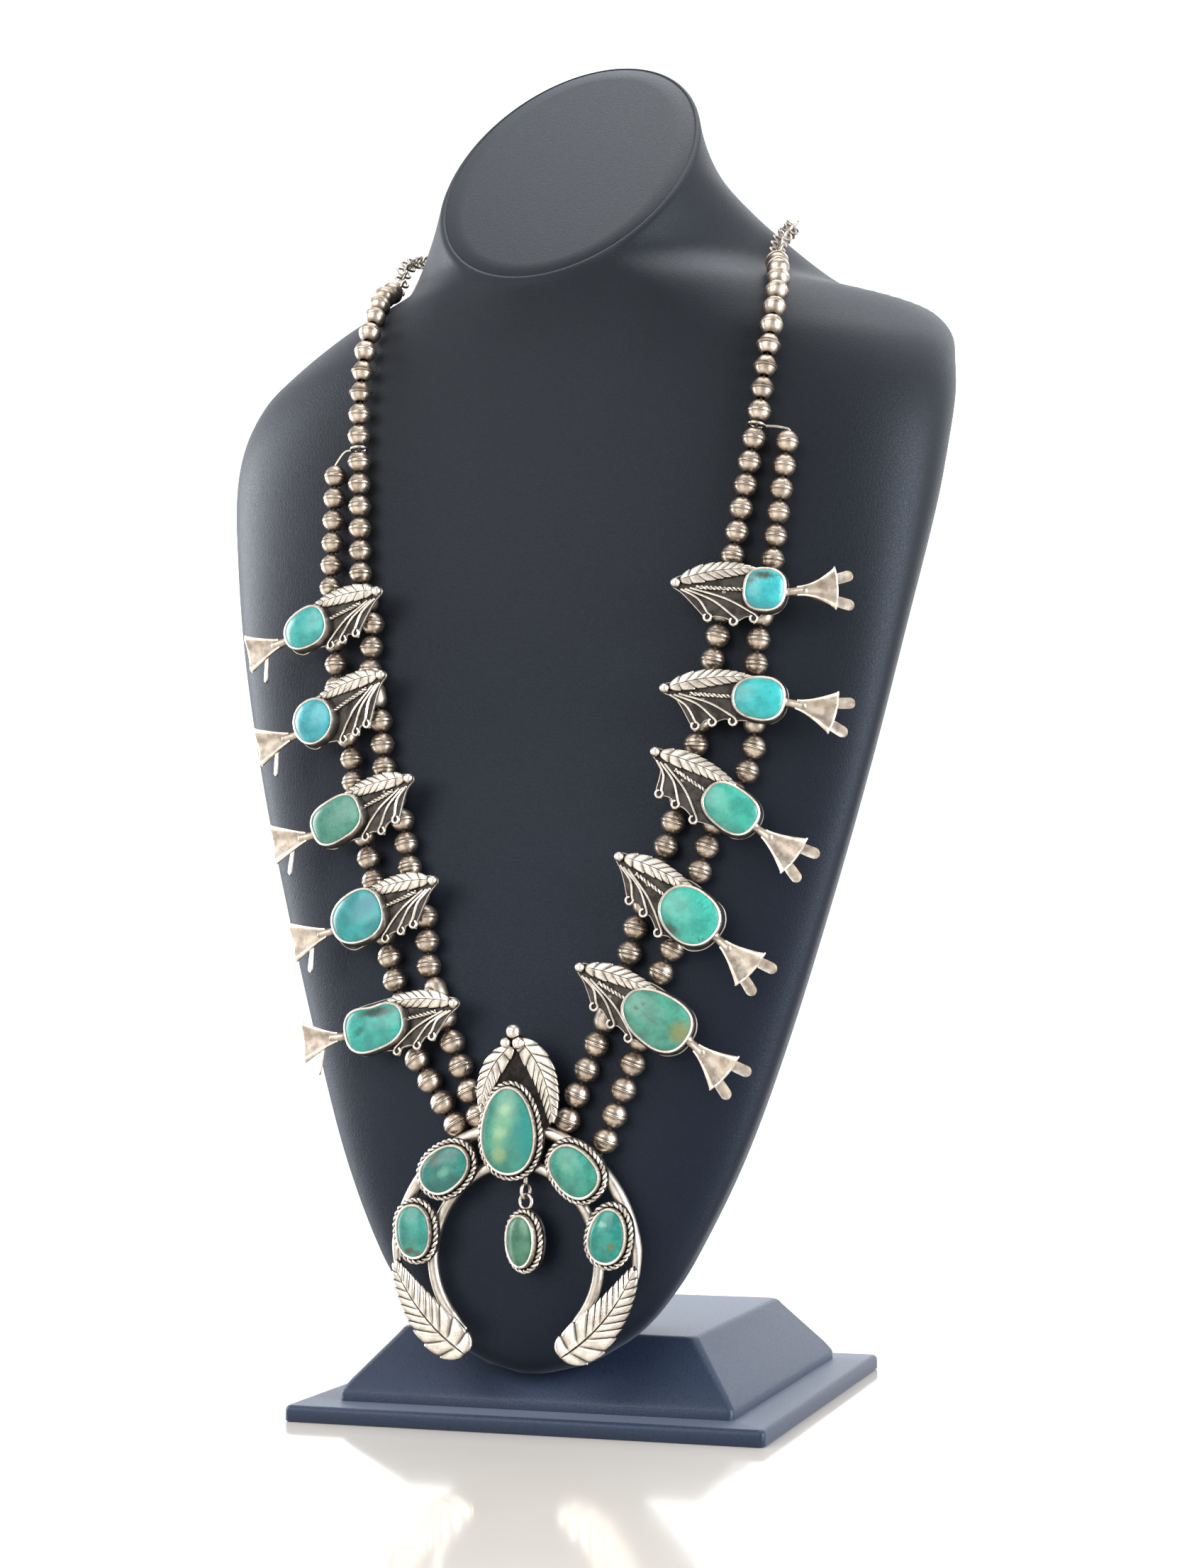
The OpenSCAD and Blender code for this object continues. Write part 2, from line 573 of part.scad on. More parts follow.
// carries its children to blossom b: X from tip to petals, Z away from the bust
module at_blossom(b) {
  x = b[0] * half_bust;
  z = b[1] * bust_height;
  n = face(x, z);
  ex = unit([1, 0, 0] - n * n[0]);
  ey = cross(n, ex);
  p = on_chest(x, z, blossom_lift);
  multmatrix([[ex[0], ey[0], n[0], p[0]], [ex[1], ey[1], n[1], p[1]], [ex[2], ey[2], n[2], p[2]], [0, 0, 0, 1]])
    rotate(b[2])
      mirror([b[3], 0, 0])
        children();
}

// one strand's tube behind a blossom, between two runs of beads
module shank(b, strand, i, hole) {
  runs = strand_runs(strand);
  a = runs[i][len(runs[i]) - 1];
  c = runs[i + 1][0];
  d = unit(c - a);
  m = (a + c) / 2;
  long = min(norm(c - a) - bead_pitch - 0.5, 8);
  n = face(b[0] * half_bust, b[1] * bust_height);
  p = on_chest(b[0] * half_bust, b[1] * bust_height, blossom_lift);
  if (hole)
    aim(m - d * 10, d) cylinder(d = 1.7, h = 20, $fn = 24);
  else {
    top = m + n * ((p - m) * n + blossom_plate / 2);
    centre = p + n * blossom_plate / 2;
    aim(m - d * long / 2, d) cylinder(d = shank_diameter, h = long, $fn = 24);
    aim(m + n * 1.2, n) cylinder(d = 2, h = norm(top - m) - 1.2, $fn = 24);
    // a wire in the plate's thickness from the post to the middle of the blossom
    aim(top, unit(centre - top)) cylinder(d = 0.7, h = norm(centre - top), $fn = 16);
  }
}

module petals(s) {
  start = s[0] / 2 + 0.3;
  mid = blossom_plate + 0.9;
  translate([start, 0, mid])
    rotate([0, 90, 0])
      cylinder(d = stem_diameter, h = 4.4, $fn = 24);
  translate([start + 3.8, 0, mid])
    rotate([0, -9, 0])
      linear_extrude(0.8)
        polygon([[0, -1.1], [0, 1.1], [front_petal * 0.5, 2.6], [front_petal - 0.6, petal_mouth / 2],
          [front_petal, petal_mouth / 2 - 0.4], [front_petal + 0.2, 0],
          [front_petal, 0.4 - petal_mouth / 2], [front_petal - 0.6, -petal_mouth / 2],
          [front_petal * 0.5, -2.6]]);
  for (k = [-1, 1])
    translate([start + 3.8, 0, mid - 0.2])
      rotate([0, 11, k * 19])
        translate([0, 0, -0.4])
          linear_extrude(0.8) {
            polygon([[0, -1], [0, 1], [back_petal - 2, 2.1], [back_petal - 2, -2.1]]);
            translate([back_petal - 2, 0]) circle(d = 4.2, $fn = 24);
          }
}

// scroll ends along the lower edge, as shares of the blossom's reach
scrolls = [[-0.60, -0.33], [-0.32, -0.36], [-0.10, -0.33]];
scroll_wire = 0.6;
module blossom_face(s) {
  r = blossom_reach;
  h = s[0] / 2;
  q = s[1] / 2;
  top = blossom_plate;
  linear_extrude(blossom_plate) {
    polygon([[-r, 1.2], [-0.88 * r, 3.4], [-0.7 * r, 5.2], [-0.46 * r, 6.2], [-h, q], [0, q], [0, -q],
      [-0.06 * r, -q - 1.6], [-0.18 * r, -q - 1.8], [-0.22 * r, -0.32 * r], [-0.33 * r, -0.37 * r],
      [-0.42 * r, -0.32 * r], [-0.5 * r, -0.315 * r], [-0.615 * r, -0.355 * r],
      [-0.715 * r, -0.28 * r], [-0.88 * r, -2.6], [-r, -1.2]]);
    stone_shape(s, bezel_wall + stone_gap + 0.5);
    translate([-r, 0]) circle(d = tip_ball, $fn = 24);
  }
  bezel(s, top);
  translate([-r, 0, top + tip_ball * 0.3]) sphere(d = tip_ball, $fn = 24);
  difference() {
    translate([-0.09 * r, 5.6, top - 0.1])
      rotate(180 + 13)
        leaf(0.79 * r, 4.6, -1.1, 7, 1, 0.3);
    linear_extrude(bezel_height) stone_shape(s, stone_gap + bezel_wall / 2);
  }
  translate([-0.75 * r, -1, top + 0.2])
    rotate([0, 90, 0])
      cylinder(d = 0.9, h = 0.75 * r - h - stone_gap - bezel_wall / 2, $fn = 16);
  for (k = [0 : 2]) {
    c = scrolls[k] * r;
    a = [-0.915 * r + 0.5 * k, -0.9 - 0.35 * (2 - k)];
    v = c + [-0.75, 0.2] - a;
    translate([c[0], c[1], top + 0.2])
      rotate_extrude() translate([0.85, 0]) circle(d = scroll_wire, $fn = 16);
    translate([a[0], a[1], top + 0.2])
      rotate(atan2(v[1], v[0]))
        rotate([0, 90, 0])
          cylinder(d = scroll_wire, h = norm(v), $fn = 16);
    translate([c[0], c[1], 0.3])
      cylinder(r = 1.1, h = top - 0.2, $fn = 24);
  }
  petals(s);
}
module blossom(k) {
  b = blossoms[k];
  left = b[3] == 1;
  i = k % 5;
  color([0.35, 0.33, 0.31])
    difference() {
      union() {
        at_blossom(b) blossom_face(b[4]);
        shank(b, left ? inner_left : inner_right, i, false);
        shank(b, left ? outer_left : outer_right, i, false);
      }
      shank(b, left ? inner_left : inner_right, i, true);
      shank(b, left ? outer_left : outer_right, i, true);
    }
}
module blossom_stone(k) color([0.16, 0.62, 0.58])
  at_blossom(blossoms[k]) gem(blossoms[k][4], blossom_plate);

module blossom_left_1() blossom(0);
module blossom_left_2() blossom(1);
module blossom_left_3() blossom(2);
module blossom_left_4() blossom(3);
module blossom_left_5() blossom(4);
module blossom_right_1() blossom(5);
module blossom_right_2() blossom(6);
module blossom_right_3() blossom(7);
module blossom_right_4() blossom(8);
module blossom_right_5() blossom(9);
module stone_left_1() blossom_stone(0);
module stone_left_2() blossom_stone(1);
module stone_left_3() blossom_stone(2);
module stone_left_4() blossom_stone(3);
module stone_left_5() blossom_stone(4);
module stone_right_1() blossom_stone(5);
module stone_right_2() blossom_stone(6);
module stone_right_3() blossom_stone(7);
module stone_right_4() blossom_stone(8);
module stone_right_5() blossom_stone(9);

// The naja in its own frame: X to the right, Y up, Z away from the bust,
// origin at the crescent's middle, on the plane its back lies in.
module at_naja() translate([0, -naja_back, naja_height]) rotate([90, 0, 0]) children();
naja_middle = (naja_outer_radius + naja_inner_radius) / 2;
lower_turn = 75.4;
// each setting: turn from the top to the right, share of the crescent's middle
// radius, then the stone's length, width, egg, power and turn
setting_rows = [
  [0, 1.188, [22.5, 14.3, -0.13, 2.1, 90]],
  [-37.6, 1.043, [14.4, 10.4, -0.05, 2.2, 38]],
  [37.6, 1.043, [14.6, 10.8, 0.05, 2.3, -46]],
  [-lower_turn, 0.985, [13.6, 9, 0.02, 2.2, 94]],
  [lower_turn, 0.985, [13.8, 9.4, -0.1, 2.1, 80]]];
settings = [for (r = setting_rows)
  [naja_middle * r[1] * sin(r[0]), naja_middle * r[1] * cos(r[0]), r[2]]];
setting_floor = naja_outer_wire + 0.7;
module setting(s, floor) {
  translate([s[0], s[1], 0]) {
    translate([0, 0, floor - 1]) linear_extrude(1) stone_shape(s[2], bezel_wall + stone_gap + rope_width);
    bezel(s[2], floor);
    translate([0, 0, floor - 0.1])
      linear_extrude(1.3)
        difference() {
          stone_shape(s[2], bezel_wall + stone_gap + rope_width - 0.1);
          stone_shape(s[2], stone_gap + bezel_wall / 2);
        }
  }
}
module arc_wire(radius, wire, from)
  translate([0, 0, naja_outer_wire / 2])
    rotate(-from)
      rotate_extrude(angle = 180 + 2 * from)
        translate([radius, 0])
          circle(d = wire, $fn = 32);
leaf_floor = setting_floor + 0.4;
loop_out = naja_inner_wire + 0.2;
loop_drop = naja_inner_radius - naja_inner_wire / 2 - loop_radius - loop_wire / 2 - 1.45;
// outline of the backing above the centre stone, as shares of its width and
// of its height above that stone's middle
crest = [[-0.40, 0.21], [-0.42, 0.43], [-0.35, 0.66], [-0.14, 0.87], [0.07, 0.96], [0.28, 0.90],
  [0.49, 0.68], [0.58, 0.40], [0.55, 0.09], [0.23, -0.06], [-0.23, -0.06]];
module crest_spot(x, y, z) translate([x * crest_width, settings[0][1] + y * crest_height, z]) children();
module naja() color([0.45, 0.43, 0.4])
  difference() {
    union() {
      at_naja() {
        arc_wire(naja_outer_radius, naja_outer_wire, 6);
        arc_wire(naja_inner_radius, naja_inner_wire, 52);
        for (s = settings)
          setting(s, setting_floor);
        // leaves at the ends of the crescent
        for (k = [0, 1])
          mirror([k, 0, 0])
            translate([1.191 * naja_middle, -0.8, naja_outer_wire - 0.8])
              rotate(229)
                leaf(end_leaf_length, end_leaf_width, 2.7, 10, 2, 0.4);
        // crest above the centre stone, with a leaf down each side of it
        crest_spot(0, 0, setting_floor - 0.6)
          linear_extrude(1.1)
            difference() {
              polygon([for (p = crest) [p[0] * crest_width, p[1] * crest_height]]);
              stone_shape(settings[0][2], stone_gap + bezel_wall / 2);
            }
        crest_spot(0.58, 0.06, leaf_floor - 0.1)
          rotate(112) leaf(0.96 * crest_height, 5.6, -2.6, 9, 1.2, 0.35);
        crest_spot(-0.39, 0.155, leaf_floor - 0.1)
          rotate(65) leaf(0.785 * crest_height, 4.8, 2.4, 8, 1.2, 0.35);
        crest_spot(0.07, 1, leaf_floor + 1) sphere(d = 4, $fn = 32);
        crest_spot(-0.03, 0.887, leaf_floor + 1) sphere(d = 3, $fn = 32);
        crest_spot(0.135, 0.883, leaf_floor + 1) sphere(d = 3.4, $fn = 32);
        // loop for the drop, its plane square to the drop's face
        translate([drop_side, loop_drop, loop_out])
          rotate([0, -drop_turn, 0]) {
            rotate([0, 90, 0])
              rotate_extrude()
                translate([loop_radius, 0])
                  circle(d = loop_wire, $fn = 24);
            translate([0, loop_radius + 1.6, 0])
              cube([1.4, 3.4, 1.4], center = true);
          }
      }
      for (s = [inner_left, outer_left, inner_right, outer_right]) {
        m = naja_meet(s);
        aim(m[0] - m[1] * end_tube / 2, m[1]) cylinder(d = 3, h = end_tube, $fn = 24);
      }
    }
    for (s = [inner_left, outer_left, inner_right, outer_right]) {
      m = naja_meet(s);
      aim(m[0] - m[1] * 4, m[1]) cylinder(d = 1.5, h = 8, $fn = 24);
    }
  }
module naja_stone(k) color([0.16, 0.62, 0.58])
  at_naja()
    translate([settings[k][0], settings[k][1], 0])
      gem(settings[k][2], setting_floor);
module naja_stone_centre() naja_stone(0);
module naja_stone_upper_left() naja_stone(1);
module naja_stone_upper_right() naja_stone(2);
module naja_stone_lower_left() naja_stone(3);
module naja_stone_lower_right() naja_stone(4);

// The drop hangs from the loop's lowest wire, in a frame with its origin there.
drop_cut = [drop_stone_length, drop_stone_width, 0.04, 2.1, 90];
ring_rise = loop_wire + 0.12;
drop_middle = ring_rise - 2 * drop_ring_radius - drop_stone_length / 2
  - bezel_wall - stone_gap - rope_width + 0.35;
module at_drop()
  at_naja()
    translate([drop_side, loop_drop - loop_radius, loop_out])
      rotate([0, -drop_turn, 0])
        children();
module drop() color([0.45, 0.43, 0.4])
  at_drop() {
    translate([0, ring_rise - drop_ring_radius, 0])
      rotate_extrude()
        translate([drop_ring_radius, 0])
          circle(d = loop_wire, $fn = 24);
    setting([0, drop_middle, drop_cut], 0.4);
  }
module drop_stone() color([0.2, 0.5, 0.4])
  at_drop()
    translate([0, drop_middle, 0])
      gem(drop_cut, 0.4);

base_plate();
base_block();
bust_form();
blossom_left_1();
blossom_left_2();
blossom_left_3();
blossom_left_4();
blossom_left_5();
blossom_right_1();
blossom_right_2();
blossom_right_3();
blossom_right_4();
blossom_right_5();
stone_left_1();
stone_left_2();
stone_left_3();
stone_left_4();
stone_left_5();
stone_right_1();
stone_right_2();
stone_right_3();
stone_right_4();
stone_right_5();
naja();
naja_stone_centre();
naja_stone_upper_left();
naja_stone_upper_right();
naja_stone_lower_left();
naja_stone_lower_right();
drop();
drop_stone();
beads_upper_left();
beads_upper_right();
beads_inner_left();
beads_outer_left();
beads_inner_right();
beads_outer_right();
thread_left();
thread_right();
thread_outer_left();
thread_outer_right();
strand_ring_left();
strand_ring_right();
clasp_hook();
back_chain();
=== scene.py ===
import math

import bmesh
import bpy
import numpy as np
from mathutils import Matrix


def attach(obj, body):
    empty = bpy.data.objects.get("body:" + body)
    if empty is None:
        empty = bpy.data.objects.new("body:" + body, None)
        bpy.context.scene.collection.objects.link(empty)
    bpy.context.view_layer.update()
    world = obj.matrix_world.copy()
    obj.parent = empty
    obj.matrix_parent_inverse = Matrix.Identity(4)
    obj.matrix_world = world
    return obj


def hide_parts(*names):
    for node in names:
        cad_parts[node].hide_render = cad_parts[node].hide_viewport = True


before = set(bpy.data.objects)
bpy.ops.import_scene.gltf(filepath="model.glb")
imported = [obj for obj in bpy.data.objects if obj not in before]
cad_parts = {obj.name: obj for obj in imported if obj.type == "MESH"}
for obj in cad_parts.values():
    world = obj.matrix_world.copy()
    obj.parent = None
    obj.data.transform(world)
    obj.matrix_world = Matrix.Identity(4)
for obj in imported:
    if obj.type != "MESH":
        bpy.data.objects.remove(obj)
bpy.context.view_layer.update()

MM = 0.001
NECKLACE = "necklace_and_bust"
DROP = "drop"
chance = np.random.default_rng(19)

# base
plate_width = 137.0
plate_depth = 138.0
plate_thickness = 4.5
plate_bevel = 1.0
block_foot = (114.0, 115.5)
block_top_size = (86.0, 89.0)
block_skirt = 3.0
block_top = 24.0

# bust
bust_height = 412.0
half_bust = 112.5
bust_reach = 65.5
neck_cut_height = 363.0
neck_cut_slope = 51.0
neck_cut_middle = 0.3 * bust_reach
back_roundness = 2.1

# beads
bead_diameter = 6.5
bead_gap = 0.15
bead_ridge = 0.12
bead_hole = 2.3
bead_clearance = 0.25
tie_room = 1.2
bead_pitch = bead_diameter + bead_gap
bead_lift = bead_diameter / 2 + bead_ridge + bead_clearance
barrel_length = 12.2
left_count = 10
right_count = 8
end_room = 0.35
shank_room = 0.3
shank_bore = 1.7
shank_post = 2.0

# blossoms
blossom_lift = 7.4
blossom_plate = 0.9
blossom_reach = 26.0
tip_ball = 2.8
bezel_height = 3.0
bezel_wall = 0.55
stone_gap = 0.08
stone_dome = 1.3
stem_diameter = 2.6
front_petal = 9.6
petal_mouth = 11.0
back_petal = 14.0

# naja and drop
naja_outer_radius = 34.3
naja_inner_radius = 23.8
naja_outer_wire = 3.5
naja_inner_wire = 3.1
naja_height = 46.0
naja_back = bust_reach + 1.4
naja_middle = (naja_outer_radius + naja_inner_radius) / 2
end_leaf_length = 32.5
end_leaf_width = 12.0
crest_height = 26.5
crest_width = 21.6
rope_width = 1.6
setting_floor = naja_outer_wire + 0.7
leaf_floor = setting_floor + 0.4
end_tube = 3.4
drop_side = 3.8
drop_turn = 18.0
loop_radius = 1.9
drop_ring_radius = 2.0
loop_wire = 1.0
loop_neck = 1.45
loop_out = naja_inner_wire + 0.2
loop_drop = naja_inner_radius - naja_inner_wire / 2 - loop_radius - loop_wire / 2 - loop_neck
ring_rise = loop_wire + 0.12
ring_sunk = 0.35
drop_cut = (13.0, 8.6, 0.04, 2.1, 90)
drop_floor = 0.4
drop_rim = bezel_wall + stone_gap + rope_width
drop_middle = ring_rise - 2 * drop_ring_radius - drop_cut[0] / 2 - drop_rim + ring_sunk

# The bust's sections from hem to neck, as shares of its height, half width and reach:
# height, half width, front, widest line, depth of the flat back, roundness of the front.
sections = np.array([
    (0.0352, 0.053, 0.893, 0.779, 0.082, 2.20),
    (0.0376, 0.102, 0.916, 0.779, 0.153, 2.20),
    (0.0425, 0.147, 0.939, 0.786, 0.229, 2.20),
    (0.0498, 0.196, 0.959, 0.794, 0.305, 2.20),
    (0.0607, 0.258, 0.977, 0.809, 0.397, 2.20),
    (0.0777, 0.320, 0.992, 0.824, 0.458, 2.20),
    (0.1092, 0.400, 1.000, 0.824, 0.464, 2.20),
    (0.1699, 0.511, 0.977, 0.763, 0.464, 2.20),
    (0.2427, 0.609, 0.947, 0.687, 0.464, 2.20),
    (0.3398, 0.720, 0.878, 0.611, 0.464, 2.20),
    (0.4369, 0.820, 0.824, 0.534, 0.464, 2.20),
    (0.5340, 0.905, 0.809, 0.427, 0.464, 2.20),
    (0.6189, 0.969, 0.794, 0.275, 0.464, 2.20),
    (0.6675, 0.994, 0.786, 0.183, 0.464, 2.15),
    (0.7039, 1.000, 0.786, 0.061, 0.464, 2.05),
    (0.7354, 0.985, 0.794, -0.092, 0.464, 1.90),
    (0.7573, 0.964, 0.809, -0.260, 0.464, 1.72),
    (0.7743, 0.927, 0.824, -0.366, 0.464, 1.58),
    (0.7864, 0.876, 0.832, -0.412, 0.464, 1.48),
    (0.7961, 0.773, 0.840, -0.427, 0.464, 1.42),
    (0.8058, 0.680, 0.847, -0.412, 0.464, 1.40),
    (0.8180, 0.613, 0.855, -0.366, 0.464, 1.42),
    (0.8350, 0.538, 0.863, -0.275, 0.464, 1.48),
    (0.8568, 0.453, 0.870, -0.153, 0.473, 1.62),
    (0.8811, 0.382, 0.878, -0.015, 0.489, 1.80),
    (0.9078, 0.352, 0.885, 0.122, 0.519, 1.92),
    (0.9417, 0.347, 0.885, 0.229, 0.565, 2.00),
    (1.0000, 0.347, 0.885, 0.296, 0.586, 2.00),
])

# Each run of beads: place of its first and last bead as shares, and how many it holds.
inner_left = (
    (-0.476, 0.6609, -0.465, 0.5796, 6),
    (-0.427, 0.5417, -0.432, 0.5112, 3),
    (-0.401, 0.4733, -0.390, 0.4415, 3),
    (-0.333, 0.4022, -0.309, 0.3716, 3),
    (-0.258, 0.3352, -0.245, 0.3034, 3),
    (-0.193, 0.2650, -0.103, 0.2062, 5),
)
outer_left = (
    (-0.547, 0.6529, -0.554, 0.5711, 6),
    (-0.533, 0.5160, -0.532, 0.5000, 2),
    (-0.483, 0.4481, -0.477, 0.4318, 2),
    (-0.425, 0.3777, -0.409, 0.3619, 2),
    (-0.354, 0.3090, -0.337, 0.2934, 2),
    (-0.264, 0.2396, -0.161, 0.1993, 4),
)
inner_right = (
    (0.567, 0.6536, 0.517, 0.5731, 6),
    (0.481, 0.5199, 0.468, 0.5034, 2),
    (0.428, 0.4524, 0.426, 0.4417, 1),
    (0.372, 0.3951, 0.356, 0.3801, 2),
    (0.284, 0.3257, 0.272, 0.3095, 2),
    (0.203, 0.2551, 0.135, 0.2068, 4),
)
outer_right = (
    (0.644, 0.6495, 0.611, 0.5701, 6),
    (0.577, 0.5163, 0.571, 0.5000, 2),
    (0.565, 0.4449, 0.547, 0.4274, 2),
    (0.470, 0.3942, 0.437, 0.3629, 3),
    (0.372, 0.3112, 0.348, 0.2966, 2),
    (0.290, 0.2430, 0.228, 0.1947, 4),
)
strands = {
    "inner_left": inner_left, "outer_left": outer_left,
    "inner_right": inner_right, "outer_right": outer_right,
}
# The single strand and chain round the neck, as shares of half width, reach and height.
neck_route = np.array([
    (-0.485, -0.769, 0.6799), (-0.485, -0.750, 0.7130), (-0.482, -0.708, 0.7451),
    (-0.479, -0.630, 0.7705), (-0.488, -0.494, 0.7930), (-0.494, -0.291, 0.8104),
    (-0.520, -0.089, 0.8372), (-0.519, 0.212, 0.8552), (-0.447, 0.516, 0.8576),
    (-0.326, 0.702, 0.8565), (-0.162, 0.764, 0.8482), (0.000, 0.784, 0.8444),
    (0.123, 0.774, 0.8463), (0.241, 0.754, 0.8515), (0.374, 0.657, 0.8580),
    (0.474, 0.479, 0.8560), (0.548, 0.170, 0.8478), (0.547, -0.071, 0.8246),
    (0.568, -0.278, 0.8028), (0.598, -0.462, 0.7797), (0.606, -0.585, 0.7555),
    (0.601, -0.682, 0.7226), (0.587, -0.729, 0.6883), (0.579, -0.740, 0.6733),
])


# Small tools for points and frames

def unit(v):
    v = np.asarray(v, float)
    return v / max(np.linalg.norm(v), 1e-12)


def unit_rows(v):
    return v / np.maximum(np.linalg.norm(v, axis=1, keepdims=True), 1e-9)


def covered(path):
    """How far along a path each of its points lies."""
    return np.concatenate([[0], np.cumsum(np.linalg.norm(np.diff(path, axis=0), axis=1))])


def axes(x, y, z, origin):
    """A matrix that carries a part's own frame to the object's frame."""
    m = np.eye(4)
    m[:3, 0] = x
    m[:3, 1] = y
    m[:3, 2] = z
    m[:3, 3] = origin
    return m


def moved(x, y, z):
    return axes((1, 0, 0), (0, 1, 0), (0, 0, 1), (x, y, z))


def turned(axis, degrees):
    a = math.radians(degrees)
    c = math.cos(a)
    s = math.sin(a)
    if axis == "x":
        return axes((1, 0, 0), (0, c, s), (0, -s, c), (0, 0, 0))
    if axis == "y":
        return axes((c, 0, -s), (0, 1, 0), (s, 0, c), (0, 0, 0))
    return axes((c, s, 0), (-s, c, 0), (0, 0, 1), (0, 0, 0))


MIRRORED = axes((-1, 0, 0), (0, 1, 0), (0, 0, 1), (0, 0, 0))


def carried(m, points):
    return np.asarray(points, float).reshape(-1, 3) @ m[:3, :3].T + m[:3, 3]


def aimed(p, d):
    """A frame at p with its Z along d."""
    z = unit(d)
    x = unit(np.cross((0.0, 1.0, 0.0) if abs(z[1]) < 0.9 else (1.0, 0.0, 0.0), z))
    return axes(x, np.cross(z, x), z, p)


def share(h, k):
    """Value k of the bust's sections at height share h, along a smooth curve."""
    h = np.asarray(h, float)
    last = len(sections) - 1
    i = np.clip(np.searchsorted(sections[:, 0], h, side="right") - 1, 0, last - 1)
    slopes = np.array([
        (sections[min(n + 1, last), k] - sections[max(n - 1, 0), k])
        / (sections[min(n + 1, last), 0] - sections[max(n - 1, 0), 0])
        for n in range(last + 1)
    ])
    d = sections[i + 1, 0] - sections[i, 0]
    u = np.clip((h - sections[i, 0]) / d, 0, 1)
    return (
        (2 * u**3 - 3 * u**2 + 1) * sections[i, k]
        + (u**3 - 2 * u**2 + u) * d * slopes[i]
        + (3 * u**2 - 2 * u**3) * sections[i + 1, k]
        + (u**3 - u**2) * d * slopes[i + 1]
    )


def girth(h):
    """The bust's half width, its front and its widest line at height share h."""
    return share(h, 1) * half_bust, -share(h, 2) * bust_reach, -share(h, 3) * bust_reach


def front(x, z):
    """How far forward the bust's skin is at x and height z."""
    h = z / bust_height
    w, f, s = girth(h)
    e = share(h, 5)
    q = np.maximum(0, 1 - np.minimum(1, np.abs(x) / w) ** e)
    return s - (s - f) * q ** (1 / e)


def face(x, z):
    """The way out of the chest at x and height z."""
    return unit((
        front(x + 0.5, z) - front(x - 0.5, z),
        -1,
        front(x, z + 0.5) - front(x, z - 0.5),
    ))


def on_chest(x, z, lift):
    return np.array((x, float(front(x, z)), z)) + lift * face(x, z)


def skin(h, a):
    """Points of the bust's outline at height shares h and angles a."""
    w, f, s = girth(h)
    flat = share(h, 4) * bust_reach
    deep = np.maximum(flat, np.minimum(0.9 * w, 0.58 * bust_reach))
    e = np.where(np.sin(a) > 0, share(h, 5), back_roundness)
    c = np.abs(np.cos(a)) ** (2 / e)
    t = np.abs(np.sin(a)) ** (2 / e)
    y = np.where(np.sin(a) > 0, s - (s - f) * t, s + np.minimum(deep * t, flat))
    return np.stack([np.sign(np.cos(a)) * w * c, y, h * bust_height], -1)


# One piece in the making

class Work:
    """Gathers points in mm, faces, and the depth of the oxide and painted shade and the tint of
    each point.

    Finish is a face's place among the piece's materials.
    """

    def __init__(self):
        self.points = []
        self.faces = []
        self.finish = []
        self.oxide = []
        self.tint = []
        self.count = 0

    def add(self, points, faces, oxide=0.0, tint=0.5, finish=0, at=None):
        points = np.asarray(points, float).reshape(-1, 3)
        if at is not None:
            points = carried(at, points)
        n = len(points)
        self.points.append(points)
        self.oxide.append(np.broadcast_to(np.asarray(oxide, float).ravel(), (n,)))
        self.tint.append(np.broadcast_to(np.asarray(tint, float).ravel(), (n,)))
        self.faces.extend(tuple(i + self.count for i in f) for f in faces)
        self.finish.extend([finish] * len(faces))
        self.count += n
        return self

    def piece(self, name, materials, nodes=(), body=NECKLACE, centre=None, crease=38):
        """Makes the Blender object. With a centre, points also keep their place seen from it."""
        points = np.concatenate(self.points)
        mesh = bpy.data.meshes.new(name)
        mesh.from_pydata((points * MM).tolist(), [], self.faces)
        for material in materials:
            mesh.materials.append(material)
        mesh.polygons.foreach_set("material_index", self.finish)
        for label, values in (("oxide", self.oxide), ("tint", self.tint)):
            kept = mesh.attributes.new(label, "FLOAT", "POINT")
            kept.data.foreach_set("value", np.concatenate(values).astype(np.float32))
        if centre is not None:
            seen = np.zeros((len(points), 3), np.float32)
            seen[:, 0] = points[:, 0] - centre[0]
            seen[:, 1] = points[:, 2] - centre[2]
            kept = mesh.attributes.new("spot", "FLOAT_VECTOR", "POINT")
            kept.data.foreach_set("vector", seen.ravel())
        knit = bmesh.new()
        knit.from_mesh(mesh)
        bmesh.ops.recalc_face_normals(knit, faces=knit.faces)
        knit.to_mesh(mesh)
        knit.free()
        mesh.polygons.foreach_set("use_smooth", [True] * len(mesh.polygons))
        mesh.set_sharp_from_angle(angle=math.radians(crease))
        made = bpy.data.objects.new(name, mesh)
        bpy.context.scene.collection.objects.link(made)
        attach(made, body)
        if nodes:
            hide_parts(*nodes)
        return made


# Shapes: each gives points and faces, or adds them to the piece in the making

def woven(rows, closed=True, ring=False):
    """A skin over equal rows of points. A ring joins its last row to its first."""
    rows = np.asarray(rows, float)
    count, wide = rows.shape[:2]
    faces = []
    for r in range(count if ring else count - 1):
        a = r * wide
        b = ((r + 1) % count) * wide
        for c in range(wide if closed else wide - 1):
            d = (c + 1) % wide
            faces.append((a + c, a + d, b + d, b + c))
    if closed and not ring:
        faces.append(tuple(range(wide))[::-1])
        faces.append(tuple(range((count - 1) * wide, count * wide)))
    return rows.reshape(-1, 3), faces


def round_angles(n):
    """The angles of n even steps round a circle."""
    return np.linspace(0, 2 * math.pi, n, endpoint=False)


def circle(middle, radius, u, v, n):
    """Points round a circle that starts towards u and goes on towards v."""
    a = round_angles(n)
    return middle + radius * (np.outer(np.cos(a), u) + np.outer(np.sin(a), v))


